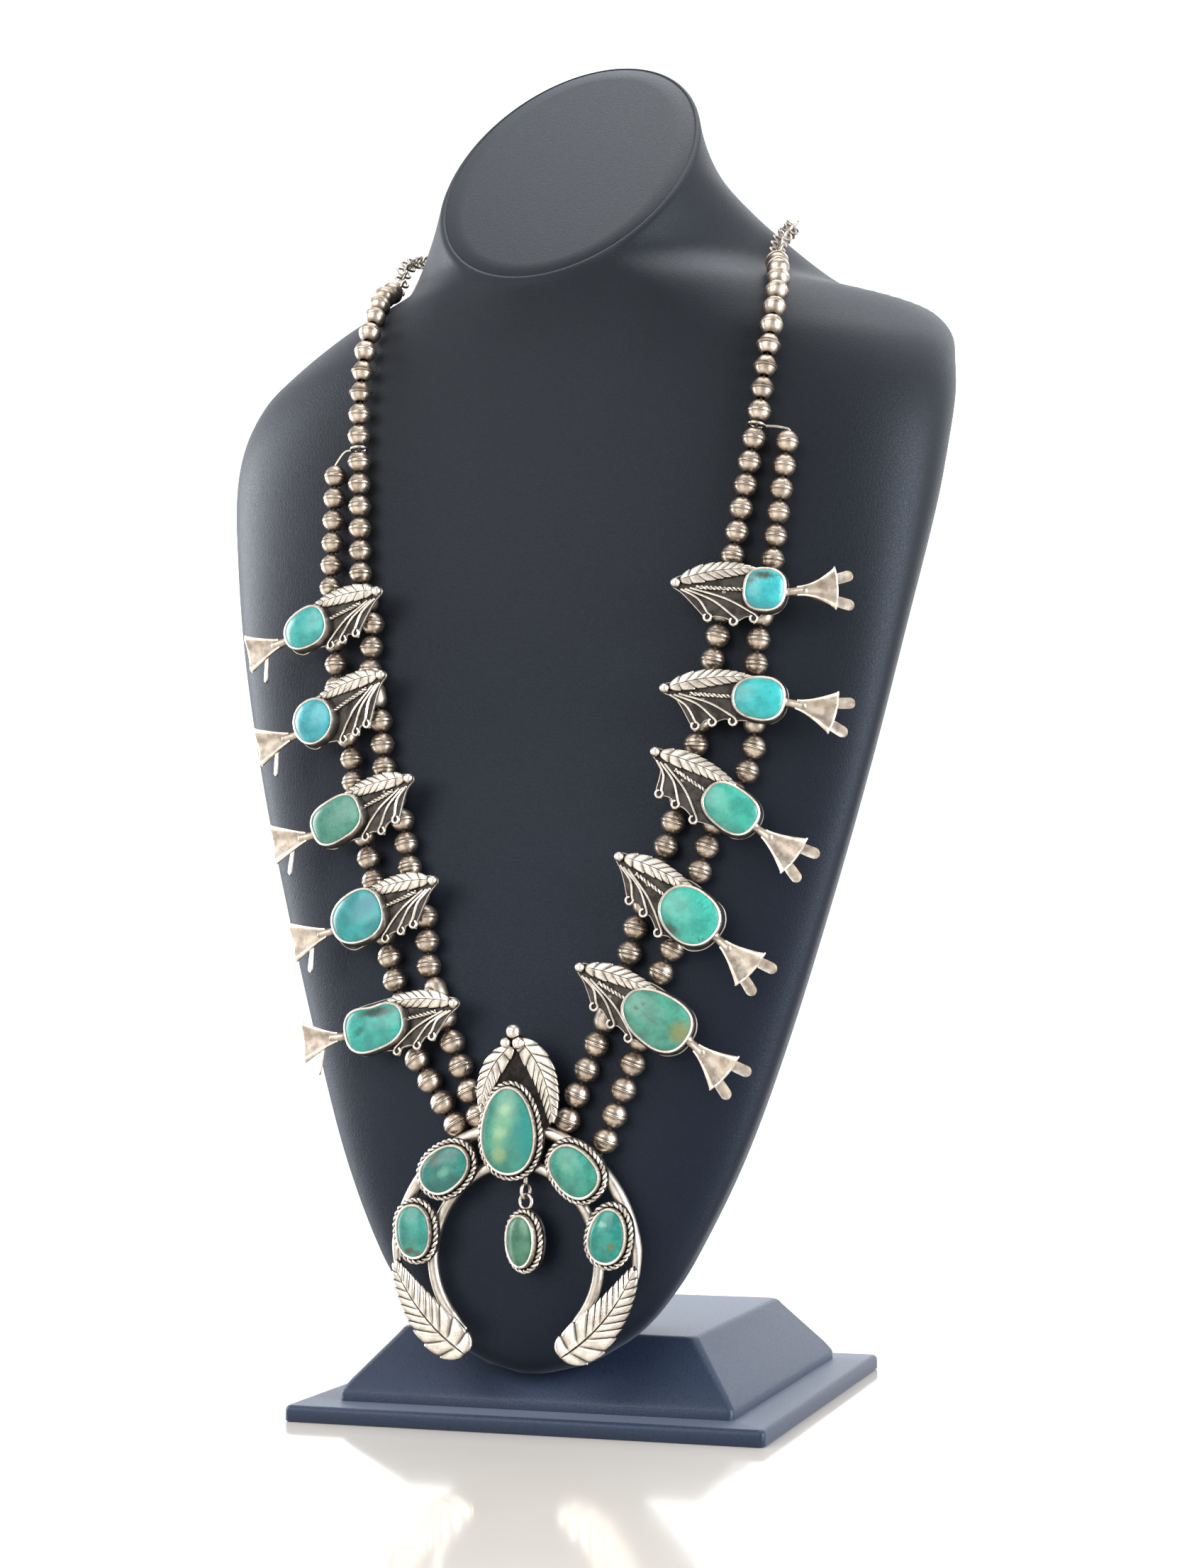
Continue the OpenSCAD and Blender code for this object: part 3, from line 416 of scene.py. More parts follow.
def even(path, step, closed):
    """The same path with points at equal steps."""
    path = np.asarray(path, float)
    if closed:
        path = np.vstack([path, path[:1]])
    gone = covered(path)
    n = max(2, int(round(gone[-1] / step)) + (0 if closed else 1))
    at = np.linspace(0, gone[-1], n, endpoint=not closed)
    return np.stack([np.interp(at, gone, path[:, k]) for k in range(path.shape[1])], 1)


def smooth_curve(points, per, closed=False):
    """A soft curve through the points, with per steps from each to the next."""
    p = np.asarray(points, float)
    n = len(p)
    made = []
    for i in range(n if closed else n - 1):
        if closed:
            a, b, c, d = (p[(i + k) % n] for k in (-1, 0, 1, 2))
        else:
            b = p[i]
            c = p[i + 1]
            a = p[i - 1] if i > 0 else 2 * b - c
            d = p[i + 2] if i + 2 < n else 2 * c - b
        for u in np.arange(per) / per:
            made.append(0.5 * (
                2 * b + (c - a) * u + (2 * a - 5 * b + 4 * c - d) * u**2
                + (3 * b - 3 * c + d - a) * u**3
            ))
    if not closed:
        made.append(p[-1])
    return np.array(made)


def travel(path, closed):
    """For each point of a path: the way on, and two directions square to it."""
    path = np.asarray(path, float)
    if closed:
        way = unit_rows(np.roll(path, -1, 0) - np.roll(path, 1, 0))
    else:
        way = unit_rows(np.gradient(path, axis=0))
    side = np.zeros_like(way)
    first = np.array((0.0, 0.0, 1.0)) if abs(way[0][2]) < 0.9 else np.array((1.0, 0.0, 0.0))
    side[0] = unit(first - way[0] * (first @ way[0]))
    for i in range(1, len(path)):
        side[i] = unit(side[i - 1] - way[i] * (side[i - 1] @ way[i]))
    return way, side, np.cross(way, side)


def wire(path, radius, sides, closed=False):
    """Round wire along a path, with rounded ends where it is open."""
    path = np.asarray(path, float)
    radius = np.broadcast_to(np.asarray(radius, float), (len(path),)).copy()
    way, side, up = travel(path, closed)
    rows = [circle(path[i], radius[i], side[i], up[i], sides) for i in range(len(path))]
    if closed:
        return woven(rows, ring=True)
    for end, sign in ((0, -1), (-1, 1)):
        for lean in (30, 58, 80):
            b = math.radians(lean)
            middle = path[end] + sign * way[end] * radius[end] * math.sin(b)
            row = circle(middle, radius[end] * math.cos(b), side[end], up[end], sides)
            rows.insert(0 if sign < 0 else len(rows), row)
    return woven(rows)


def twisted(work, path, thick, lay, closed=False, sides=7, **finish):
    """Two wires twisted together along a path. Lay is the length of one full turn."""
    path = even(path, lay / 12, closed)
    gone = covered(path)
    length = gone[-1] + (np.linalg.norm(path[0] - path[-1]) if closed else 0)
    turns = max(1, round(length / lay)) if closed else length / lay
    way, side, up = travel(path, closed)
    for start in (0, math.pi):
        a = start + 2 * math.pi * turns * gone / length
        strand = path + thick / 4 * (np.cos(a)[:, None] * side + np.sin(a)[:, None] * up)
        work.add(*wire(strand, thick / 4 * 1.04, sides, closed), **finish)


def lathed(profile, sides):
    """A level circle round Z for each (radius, height)."""
    a = round_angles(sides)
    return [np.stack([r * np.cos(a), r * np.sin(a), np.full(sides, z)], 1) for r, z in profile]


def ball(radius, sides):
    """A shot ball."""
    leans = [math.radians(b) for b in np.linspace(-88, 88, sides // 2 + 1)]
    return woven(lathed([(radius * math.cos(b), radius * math.sin(b)) for b in leans], sides))


def spun(profile, sides):
    """A closed profile of (radius, height) spun round Z."""
    return woven(lathed(profile, sides), ring=True)


def grown(outline, by):
    """A closed flat outline moved outwards."""
    way = unit_rows(np.roll(outline, -1, 0) - np.roll(outline, 1, 0))
    return outline + by * np.stack([way[:, 1], -way[:, 0]], 1)


def level(outline, z):
    """A flat outline laid at height z."""
    return np.column_stack([outline, np.full(len(outline), z)])


def wall(outline, profile):
    """A wall round an outline: the profile gives (growth, height) round its section."""
    return woven([level(grown(outline, g), z) for g, z in profile], ring=True)


def sheet(outline, low, high, round_by=0.25):
    """A flat plate cut to an outline, with softened edges."""
    rows = [
        level(grown(outline, -round_by), low),
        level(outline, low + round_by),
        level(outline, high - round_by),
        level(grown(outline, -0.3 * round_by), high - 0.3 * round_by),
        level(grown(outline, -round_by), high),
    ]
    return woven(rows)


def back_plate(work, outline, low, high, oxide, at):
    """A sheet with a dark face and a bright filed rim."""
    points, faces = sheet(outline, low, high)
    work.add(points, faces[:-1], oxide=0.2, at=at)
    last = points[-len(outline):]
    work.add(last, [tuple(range(len(outline)))], oxide=oxide, finish=PLATE, at=at)


def cut_shape(cut, points=84, dent=0.0):
    """A stone's outline: length, width, fullness to one end, squareness and turn."""
    length, width, egg, power, lean = cut
    a = round_angles(360)
    c = np.cos(a)
    s = np.sin(a)
    u = np.abs(c) ** (2 / power)
    v = np.abs(s) ** (2 / power)
    x = np.sign(c) * u * length / 2
    y = np.sign(s) * v * width / 2 * (1 + egg * np.where(c > 0, u, -u))
    y = y - np.where(s > 0, dent * np.exp(-((x / (0.25 * length)) ** 2)) * v, 0)
    b = math.radians(lean)
    c = math.cos(b)
    s = math.sin(b)
    step = 2 * math.pi * (length + width) / 4 / points
    return even(np.stack([x * c - y * s, x * s + y * c], 1), step, True)


def cabochon(outline, floor):
    """A domed stone standing in its bezel."""
    low = floor + stone_gap
    edge = floor + bezel_height - 0.35
    rows = [level(outline * 0.985, low), level(outline, low + 0.2), level(outline, edge)]
    for k in (0.985, 0.96, 0.92, 0.86, 0.78, 0.68, 0.56, 0.42, 0.26, 0.1):
        rows.append(level(outline * k, edge + (stone_dome + 0.1) * (1 - k**2.5) ** 0.8))
    return woven(rows)


def bezel(outline, floor):
    """A strip of silver bent round the stone, its bright edge pressed over it."""
    out = stone_gap + bezel_wall
    top = floor + bezel_height
    profile = (
        (out, floor - 0.1), (out, floor + 0.55 * bezel_height), (out - 0.02, top - 0.45),
        (out - 0.1, top - 0.12), (out - 0.28, top), (stone_gap + 0.02, top - 0.05),
        (-0.12, top - 0.2), (-0.05, top - 0.4), (stone_gap, floor - 0.1),
    )
    points, faces = wall(outline, profile)
    dark = (0.85, 0.6, 0.35, 0.1, 0.0, 0.0, 0.55, 1.0, 1.0)
    return points, faces, np.repeat(dark, len(outline))


def leaf(work, length, width, veins, thick, bow, at, cut, scallop, blunt=7.0):
    """A stamped leaf from its point to its round end. Rows of the mesh follow its veins.

    Cut is the veins' depth as a share of the thickness, and scallop the notch at each vein's
    end. The higher blunt is, the nearer the widest place lies to the round end.
    """
    vein_angle = 38.0
    per = 8
    rows = np.arange(veins * per + 1)
    u = 0.03 + 0.955 * rows / rows[-1]
    open_out = np.clip((u - 0.7) / 0.3, 0, 1)
    lean = np.radians(vein_angle + 66 * open_out**1.4)

    widest = (1 / (1 + blunt)) ** (1 / blunt)
    full = math.sqrt(widest * (1 - widest**blunt))

    def half(t):
        t = np.clip(t, 0, 1)
        return np.sqrt(t * (1 - t**blunt)) / full * width / 2

    near = np.zeros(len(u))
    far = np.full(len(u), length)
    for _ in range(40):
        s = (near + far) / 2
        past = s * np.sin(lean) > half(u - s * np.cos(lean) / length)
        far = np.where(past, s, far)
        near = np.where(past, near, s)
    lobe = np.abs(np.sin(math.pi * rows / per)) ** 0.4
    # each lobe stands out most on the side of the leaf's point, like a saw's tooth
    tooth = 1 - (rows % per) / per
    reach = near * (1 - scallop + scallop * np.sqrt(tooth) * np.minimum(1, 1.5 * lobe))
    across = np.array((0.0, 0.05, 0.14, 0.3, 0.5, 0.7, 0.86, 0.96, 1.0))
    for sign in (1, -1):
        grid = []
        dark = []
        for c in across:
            x = u * length - c * reach * np.cos(lean)
            y = sign * c * reach * np.sin(lean) + 4 * bow * (x / length) * (1 - x / length)
            depth = cut * thick * (1 - lobe) * min(1, 4 * c)
            crown = thick * (0.62 + 0.38 * math.cos(c * 1.45)) - (cut * thick if c < 0.02 else 0)
            z = crown - depth
            if c > 0.9:
                z = z * (0.93 if c < 0.99 else 0.72)
            grid.append(np.stack([x, y, z], 1))
            groove = np.clip(1.25 * (1 - lobe) - 0.25, 0, 1) * min(1, 5 * c)
            dark.append(np.full(len(u), 1.0) if c < 0.02 else groove)
        edge = grid[-1].copy()
        edge[:, 2] = 0
        grid.append(edge)
        dark.append(np.full(len(u), 0.9))
        points, faces = woven(grid, closed=False)
        work.add(points, faces, oxide=np.concatenate(dark), at=at)


# Materials

def paint(text):
    """A linear colour from an sRGB hex value."""
    linear = [
        c / 12.92 if c <= 0.04045 else ((c + 0.055) / 1.055) ** 2.4
        for c in (int(text[i:i + 2], 16) / 255 for i in (1, 3, 5))
    ]
    return (*linear, 1.0)


def put(tree, kind, values=None, links=None, **settings):
    """Adds one node with its settings, fixed values and incoming links."""
    made = tree.nodes.new(kind)
    for name, value in settings.items():
        setattr(made, name, value)
    for name, value in (values or {}).items():
        made.inputs[name].default_value = value
    for name, source in (links or {}).items():
        tree.links.new(source, made.inputs[name])
    return made


def feed(tree, socket, source):
    """Sets a socket to a number or a colour, or links it to another node."""
    if isinstance(source, (tuple, float, int)):
        socket.default_value = source
    else:
        tree.links.new(source, socket)


def blend_of(tree, factor, low, high):
    """A mix of two colours. Each may be a socket or a colour."""
    made = put(tree, "ShaderNodeMix", data_type="RGBA")
    # inputs 6 and 7 and output 2 are the colour ones
    for place, source in ((0, factor), (6, low), (7, high)):
        feed(tree, made.inputs[place], source)
    return made.outputs[2]


def ramped(tree, source, low, high, to_low=0.0, to_high=1.0):
    """Maps low..high of a value to a new range, smoothly."""
    made = put(
        tree, "ShaderNodeMapRange", interpolation_type="SMOOTHSTEP",
        values={"From Min": low, "From Max": high, "To Min": to_low, "To Max": to_high},
        links={"Value": source},
    )
    return made.outputs["Result"]


def reckoned(tree, operation, a, b):
    """One sum of two numbers or sockets."""
    made = put(tree, "ShaderNodeMath", operation=operation)
    for place, source in enumerate((a, b)):
        feed(tree, made.inputs[place], source)
    return made.outputs[0]


def fresh(name, rough, metal=0.0, **values):
    """A new material with its shader."""
    made = bpy.data.materials.new(name)
    made.use_nodes = True
    tree = made.node_tree
    shader = tree.nodes["Principled BSDF"]
    shader.inputs["Roughness"].default_value = rough
    shader.inputs["Metallic"].default_value = metal
    for key, value in values.items():
        shader.inputs[key.replace("_", " ")].default_value = value
    return made, tree, shader


def dress(tree, shader, colour, roughness=None):
    """Gives the shader its colour and how rough it is."""
    tree.links.new(colour, shader.inputs["Base Color"])
    if roughness is not None:
        tree.links.new(roughness, shader.inputs["Roughness"])


def emboss(tree, shader, height, strength, deep_mm):
    """Presses a pattern of heights into the surface."""
    bump = put(
        tree, "ShaderNodeBump", values={"Strength": strength, "Distance": deep_mm * MM},
        links={"Height": height},
    )
    tree.links.new(bump.outputs["Normal"], shader.inputs["Normal"])


def grains(tree, size_mm, detail):
    """Noise whose grains are size_mm wide on the object."""
    where = put(tree, "ShaderNodeTexCoord")
    noise = put(
        tree, "ShaderNodeTexNoise",
        values={"Scale": 1 / (size_mm * MM), "Detail": detail, "Roughness": 0.55},
        links={"Vector": where.outputs["Object"]},
    )
    return noise.outputs["Fac"]


def leatherette(name, upper, lower, shine, sheen):
    """PVC leathercloth: pressed fine grain, charcoal with a blue cast, satin finish. It turns bluer
    towards the bottom, a painted tint of the light there, and painted shade darkens the grain's
    creases.
    """
    made, tree, shader = fresh(
        name, 0.46, Specular_IOR_Level=shine, Specular_Tint=paint("#d2dcee"),
        Sheen_Weight=sheen, Sheen_Roughness=0.45, Sheen_Tint=paint("#b6bfd2"),
    )
    where = put(tree, "ShaderNodeTexCoord")
    # the pressed pebbles of the real cloth are 0.4 mm, drawn 1.1 mm wide so that they show
    pebbles = put(
        tree, "ShaderNodeTexVoronoi", feature="DISTANCE_TO_EDGE",
        values={"Scale": 1 / (1.1 * MM), "Randomness": 1.0},
        links={"Vector": where.outputs["Object"]},
    )
    creases = ramped(tree, pebbles.outputs["Distance"], 0.0, 0.12)
    fine = grains(tree, 0.5, 4.0)
    broad = grains(tree, 38.0, 3.0)
    cast = blend_of(tree, broad, paint(upper), paint("#121518"))
    # painted light: below 0.3 m the colour turns bluer, a painted tint of the light on the lower
    # bust
    height = put(tree, "ShaderNodeSeparateXYZ", links={"Vector": where.outputs["Object"]})
    low = ramped(tree, height.outputs["Z"], 0.3, 0.05)
    with_painted_low_tint = blend_of(tree, low, cast, paint(lower))
    # painted shade: the grain's creases are mixed towards near black
    crease_shade = blend_of(tree, 0.45, with_painted_low_tint, paint("#0a0b0d"))
    dress(
        tree, shader, blend_of(tree, creases, crease_shade, with_painted_low_tint),
        ramped(tree, fine, 0.3, 0.7, 0.4, 0.52),
    )
    relief = put(
        tree, "ShaderNodeMath", operation="MULTIPLY_ADD",
        values={1: 0.35}, links={0: fine, 2: creases},
    )
    emboss(tree, shader, relief.outputs[0], 0.22, 0.12)
    return made


def silver(name, bright, dull, oxide_colour, rough, hollow_mm, wear=0.5, marks_depth=0.12):
    """Sterling silver with sulphide oxide left in its hollows and rubbed off its edges, and painted
    shade from ambient occlusion in its hollows and where parts touch.
    """
    made, tree, shader = fresh(name, rough, 1.0)
    bright, dull, oxide_colour = (paint(shade) for shade in (bright, dull, oxide_colour))
    depth = put(tree, "ShaderNodeAttribute", attribute_name="oxide")
    tint = put(tree, "ShaderNodeAttribute", attribute_name="tint")
    # partly oxide, partly painted shade: ambient occlusion darkens the hollows and the places where
    # parts touch
    hollow = put(
        tree, "ShaderNodeAmbientOcclusion", samples=6, only_local=True,
        values={"Distance": hollow_mm * MM},
    )
    hollow_shade = ramped(tree, hollow.outputs["AO"], 0.9, 0.35)
    patches = grains(tree, 2.6, 4.0)
    specks = grains(tree, 0.35, 3.0)
    cloud = ramped(tree, patches, 0.38, 0.68)
    metal = blend_of(tree, reckoned(tree, "MULTIPLY", cloud, wear), bright, dull)
    metal = blend_of(tree, tint.outputs["Fac"], blend_of(tree, 0.35, metal, dull), metal)
    stain_and_shade = reckoned(tree, "MAXIMUM", depth.outputs["Fac"], hollow_shade)
    speck = ramped(tree, specks, 0.35, 0.75, 0.9, 1.06)
    stain_and_shade = reckoned(tree, "MINIMUM", reckoned(tree, "MULTIPLY", stain_and_shade, speck), 1.0)
    worn = ramped(tree, specks, 0.3, 0.7, rough - 0.06, rough + 0.08)
    dress(
        tree, shader, blend_of(tree, stain_and_shade, metal, oxide_colour),
        reckoned(tree, "ADD", worn, reckoned(tree, "MULTIPLY", stain_and_shade, 0.22)),
    )
    # hammer and polishing marks, 1.5 mm apart
    emboss(tree, shader, grains(tree, 1.5, 3.0), marks_depth, 0.08)
    return made


# the photograph is brightly exposed, so the stones' colours as seen in it are dimmed
stone_dim = 0.6


def stone_paint(shade):
    return tuple(stone_dim * c for c in paint(shade))


def turquoise(name, body, light, deep, matrix, matrix_colour="#3b3326", spots=()):
    """Natural turquoise, cut and polished: waxy blue-green with cloudy colour and host rock.

    Matrix is how much host rock runs through it. Spots are (x, y, wide, tall, lean, colour,
    strength) in mm from the stone's middle.
    """
    made, tree, shader = fresh(name, 0.28, IOR=1.5)
    body, light, deep, matrix_colour = (
        stone_paint(shade) for shade in (body, light, deep, matrix_colour)
    )
    place = put(tree, "ShaderNodeAttribute", attribute_name="spot")
    seed = put(
        tree, "ShaderNodeVectorMath", operation="ADD",
        values={1: tuple(chance.uniform(0, 60, 3))}, links={0: place.outputs["Vector"]},
    )
    # scales are waves per mm: broad clouds, and a fine mottle over them
    clouds, mottle = (
        put(
            tree, "ShaderNodeTexNoise",
            values={"Scale": scale, "Detail": detail, "Roughness": rough},
            links={"Vector": seed.outputs["Vector"]},
        )
        for scale, detail, rough in ((0.24, 4.0, 0.6), (1.3, 5.0, 0.65))
    )
    cloud = clouds.outputs["Fac"]
    fleck = mottle.outputs["Fac"]
    colour = blend_of(tree, ramped(tree, cloud, 0.36, 0.64), deep, body)
    colour = blend_of(tree, ramped(tree, fleck, 0.5, 0.8, 0.0, 0.35), colour, light)
    half_wander = 1.1
    wander = put(
        tree, "ShaderNodeVectorMath", operation="SCALE",
        values={"Scale": 2 * half_wander}, links={0: mottle.outputs["Color"]},
    )
    bent = put(
        tree, "ShaderNodeVectorMath", operation="ADD",
        links={0: place.outputs["Vector"], 1: wander.outputs["Vector"]},
    )
    # the wander moves everything by half its size on average, so the spots move with it
    for x, y, wide, tall, lean, shade, strength in spots:
        moved_in = put(
            tree, "ShaderNodeMapping", vector_type="TEXTURE",
            values={
                "Location": (x + half_wander, y + half_wander, half_wander),
                "Rotation": (0, 0, math.radians(lean)),
                "Scale": (wide, tall, 40.0),
            },
            links={"Vector": bent.outputs["Vector"]},
        )
        far = put(
            tree, "ShaderNodeVectorMath", operation="LENGTH",
            links={0: moved_in.outputs["Vector"]},
        )
        colour = blend_of(
            tree, ramped(tree, far.outputs["Value"], 1.3, 0.3, 0.0, strength), colour,
            stone_paint(shade),
        )
    cracks = put(
        tree, "ShaderNodeTexVoronoi", feature="DISTANCE_TO_EDGE",
        values={"Scale": 0.3, "Randomness": 1.0}, links={"Vector": bent.outputs["Vector"]},
    )
    line = ramped(tree, cracks.outputs["Distance"], 0.035, 0.0)
    here = ramped(tree, cloud, 0.62 - 0.3 * matrix, 0.8 - 0.3 * matrix)
    colour = blend_of(tree, reckoned(tree, "MULTIPLY", line, here), colour, matrix_colour)
    dress(tree, shader, colour, ramped(tree, fleck, 0.3, 0.75, 0.24, 0.34))
    emboss(tree, shader, fleck, 0.05, 0.05)
    return made


def waxed_cord():
    """Waxed polyester cord, nearly black, with twisted filaments."""
    made, tree, shader = fresh("waxed_cord", 0.6)
    filaments = grains(tree, 0.3, 2.0)
    dress(tree, shader, blend_of(tree, filaments, paint("#1c1713"), paint("#40362c")))
    emboss(tree, shader, filaments, 0.4, 0.05)
    return made


cloth = leatherette("bust_leathercloth", "#0e0f11", "#0e141f", shine=0.2, sheen=0.16)
# the base is covered in the same leathercloth as the bust, painted lighter and bluer to stand for
# the light it reflects
lit_base_cloth = leatherette("base_leathercloth_painted_lighter", "#171e2c", "#172338", shine=0.5, sheen=0.24)
cord_wax = waxed_cord()
# worn raised work: bright, slightly warm, black in the hollows
worked_silver = silver(
    "oxidised_sterling", "#dfd6ca", "#a2978b", "#1a1716", rough=0.3, hollow_mm=0.8, wear=0.55,
)
# spun bead halves: warmer and browner, as they tarnish between cleanings
bead_silver = silver(
    "tarnished_bead_silver", "#cfc0b0", "#8a7b6f", "#241d1a", rough=0.3, hollow_mm=0.6, wear=0.65,
)
# the flowers' sheet: worn smooth, browner towards its folds, from oxide and painted shade
flower_silver = silver(
    "flower_sheet", "#d6c9b9", "#978a7d", "#2b231f", rough=0.33, hollow_mm=0.8, wear=0.8,
)
# back plates: flat sheet left dark with oxide
plate_silver = silver(
    "blackened_sheet", "#5a5652", "#2d2a28", "#0f0e0e", rough=0.45, hollow_mm=1.2, wear=0.8,
    marks_depth=0.6,
)
chain_silver = silver(
    "drawn_wire_silver", "#c4bab0", "#857b72", "#1d1a18", rough=0.26, hollow_mm=0.6,
)
# finish 0 is the worked silver
METALS = (worked_silver, plate_silver, flower_silver)
PLATE = 1
FLOWER = 2


# Bust and base

cut_turn = math.radians(neck_cut_slope)
cut_out = np.array((0, -math.sin(cut_turn), math.cos(cut_turn)))
cut_up = np.array((0, math.cos(cut_turn), math.sin(cut_turn)))


def cut_heights(angles, lower):
    """Height share at which the slanted cut, moved down by lower, meets each side line."""
    p = np.array((0, -neck_cut_middle, neck_cut_height)) - cut_out * lower
    low = np.full(len(angles), 0.55)
    high = np.full(len(angles), 1.0)
    for _ in range(44):
        mid = (low + high) / 2
        above = (skin(mid, angles) - p) @ cut_out > 0
        high = np.where(above, mid, high)
        low = np.where(above, low, mid)
    return low


def cover(name, stuff, rows, node, crease):
    """Leathercloth over one form."""
    work = Work()
    work.add(*woven(rows))
    work.piece(name, [stuff], [node], crease=crease)


def make_bust():
    """The covered neck and chest, closed by the disc on the slanted cut."""
    per = 168
    rows_up = 176
    angles = -(np.arange(per) + 0.5) * 2 * math.pi / per
    # the covered disc on the cut is an ellipse, and the top of the neck is drawn out to it
    corner = skin(cut_heights(angles, 0.0), angles)
    climb = corner @ cut_up
    half_wide = np.abs(corner[:, 0]).max()
    half_tall = (climb.max() - climb.min()) / 2
    centre = (climb.max() + climb.min()) / 2
    turn = np.arctan2((climb - centre) / half_tall, corner[:, 0] / half_wide)
    shift = np.outer(half_wide * np.cos(turn) - corner[:, 0], (1, 0, 0))
    shift += np.outer(centre + half_tall * np.sin(turn) - climb, cut_up)
    rim = 1.4
    top = cut_heights(angles, rim)
    rows = []
    hem = sections[0, 0]
    drawn_part = 0.1
    for v in np.linspace(0, 1, rows_up):
        near = np.clip((v - 1 + drawn_part) / drawn_part, 0, 1)
        rows.append(skin(hem + (top - hem) * v, angles) + shift * near**2 * (3 - 2 * near))
    corner = corner + shift
    inward = unit_rows(corner.mean(0) - corner)
    last_row = rows[-1]
    rim_end = corner + inward * rim
    for t in (0.2, 0.4, 0.6, 0.8, 1.0):
        rows.append((1 - t) ** 2 * last_row + 2 * t * (1 - t) * corner + t**2 * rim_end)
    # a fine seam runs just inside the rim
    for step, rise in ((1.6, -0.2), (1.9, -0.2), (2.15, 0.0), (8.0, 0.1), (20.0, 0.1)):
        rows.append(corner + inward * step + cut_out * rise)
    cover("bust", cloth, rows, "bust_form", 60)


def square_row(half_w, half_d, corner, z):
    """A level rectangle with round corners."""
    per = 10
    row = []
    for sx, sy, start in ((1, 1, 0), (-1, 1, 90), (-1, -1, 180), (1, -1, 270)):
        for a in np.radians(np.linspace(start, start + 90, per)):
            row.append((
                sx * (half_w - corner) + corner * math.cos(a),
                sy * (half_d - corner) + corner * math.sin(a),
                z,
            ))
    return row


def make_base():
    """The thin plate with softened edges, and the sloped block that stands on it."""
    w = plate_width / 2
    d = plate_depth / 2
    corner = 1.6
    soft = plate_bevel + 0.3
    rows = [square_row(w - 0.5, d - 0.5, 1.2, 0), square_row(w, d, corner, 0.5)]
    rows.append(square_row(w, d, corner, plate_thickness - plate_bevel - 0.4))
    for k in np.radians((15, 35, 55, 75, 90)):
        inset = soft * (1 - math.cos(k))
        z = plate_thickness - soft * (1 - math.sin(k))
        rows.append(square_row(w - inset, d - inset, corner, z))
    cover("base_plate_cover", lit_base_cloth, rows, "base_plate", 50)

    foot_w, foot_d = (s / 2 for s in block_foot)
    top_w, top_d = (s / 2 for s in block_top_size)
    slope_from = plate_thickness + block_skirt
    rows = [square_row(foot_w, foot_d, 1.8, plate_thickness)]
    path = [(0.0, slope_from - 0.8), (0.02, slope_from - 0.1), (0.06, slope_from + 0.7)]
    climb = block_top - slope_from
    path += [(t, slope_from + climb * t) for t in (0.15, 0.4, 0.7, 0.88)]
    path += [(0.945, block_top - 0.75), (0.985, block_top - 0.3), (1.035, block_top - 0.05)]
    path += [(1.09, block_top)]
    for t, z in path:
        rows.append(square_row(
            foot_w + (top_w - foot_w) * t, foot_d + (top_d - foot_d) * t, 1.8 + t, z,
        ))
    cover("base_block_cover", lit_base_cloth, rows, "base_block", 50)


# Beads

def run_way(r):
    """A run's way down its strand, as x and height."""
    return unit(((r[2] - r[0]) * half_bust, (r[3] - r[1]) * bust_height))


def run_middle(r):
    """The middle of a run, as x and height."""
    return np.array(((r[0] + r[2]) * half_bust, (r[1] + r[3]) * bust_height)) / 2


def run_beads(r, swell=1.0, slip=0.0):
    """Middles of one run's beads, lying on the chest and moved slip along the strand."""
    steps = (np.arange(r[4]) - (r[4] - 1) / 2) * bead_pitch * swell + slip
    spots = [run_middle(r) + run_way(r) * step for step in steps]
    return [on_chest(p[0], p[1], bead_lift) for p in spots]


def naja_frame():
    """X to the right, Y up, Z away from the bust."""
    return axes((1, 0, 0), (0, 0, 1), (0, -1, 0), (0, -naja_back, naja_height))


def strand_end(strand):
    """Where a strand's line meets the outer wire, and its way there."""
    run = run_beads(strand[5])
    p = run[-1]
    d = unit(p - run[-2])
    a = np.array((p[0], p[2] - naja_height))
    b = unit((d[0], d[2]))
    m = a @ b
    t = -m - math.sqrt(max(0, m * m - a @ a + naja_outer_radius**2))
    return np.array((p[0] + b[0] * t, -naja_back + 0.3, p[2] + b[1] * t)), np.array((b[0], 0, b[1]))


# the beads grow a little towards the naja, run by run
swells = (1.0, 1.02, 1.03, 1.04, 1.05, 1.075)
most_slip = 2.6


def drawn_run(strand, n):
    """A run's beads as they are drawn. The last run ends just above the naja's outer wire."""
    run = run_beads(strand[n], swells[n])
    if n < len(swells) - 1:
        return run
    room = np.linalg.norm(strand_end(strand)[0] - run[-1])
    room -= (naja_outer_wire + bead_diameter * swells[n]) / 2 + end_room
    return run_beads(strand[n], swells[n], min(max(room, 0.0), most_slip))


def joined(strand):
    """The single strand's last bead, one bead and a tie ring above a strand's first."""
    r = strand[0]
    p = run_middle(r) - run_way(r) * ((r[4] + 1) / 2 * bead_pitch + tie_room)
    return on_chest(p[0], p[1], bead_lift)


def neck_points():
    """The neck route with both its ends moved onto the strands they join."""
    plain = neck_route * (half_bust, bust_reach, bust_height)
    last = len(plain) - 1
    i = np.arange(last + 1)[:, None]
    join_rows = 4
    left = (joined(inner_left) - plain[0]) * np.maximum(0, 1 - i / join_rows)
    right = (joined(inner_right) - plain[last]) * np.maximum(0, 1 - (last - i) / join_rows)
    return plain + left + right


neck_line = smooth_curve(neck_points(), 8)
neck_gone = covered(neck_line)
route_length = neck_gone[-1]
barrel_at = (
    route_length - (right_count - 1) * bead_pitch - bead_pitch / 2 - bead_gap - barrel_length / 2
)


def along(s):
    """The point of the neck route at length s from its left end."""
    return np.array([np.interp(s, neck_gone, neck_line[:, k]) for k in range(3)])


def heading(s):
    return unit(along(min(s + 0.8, route_length)) - along(max(s - 0.8, 0)))


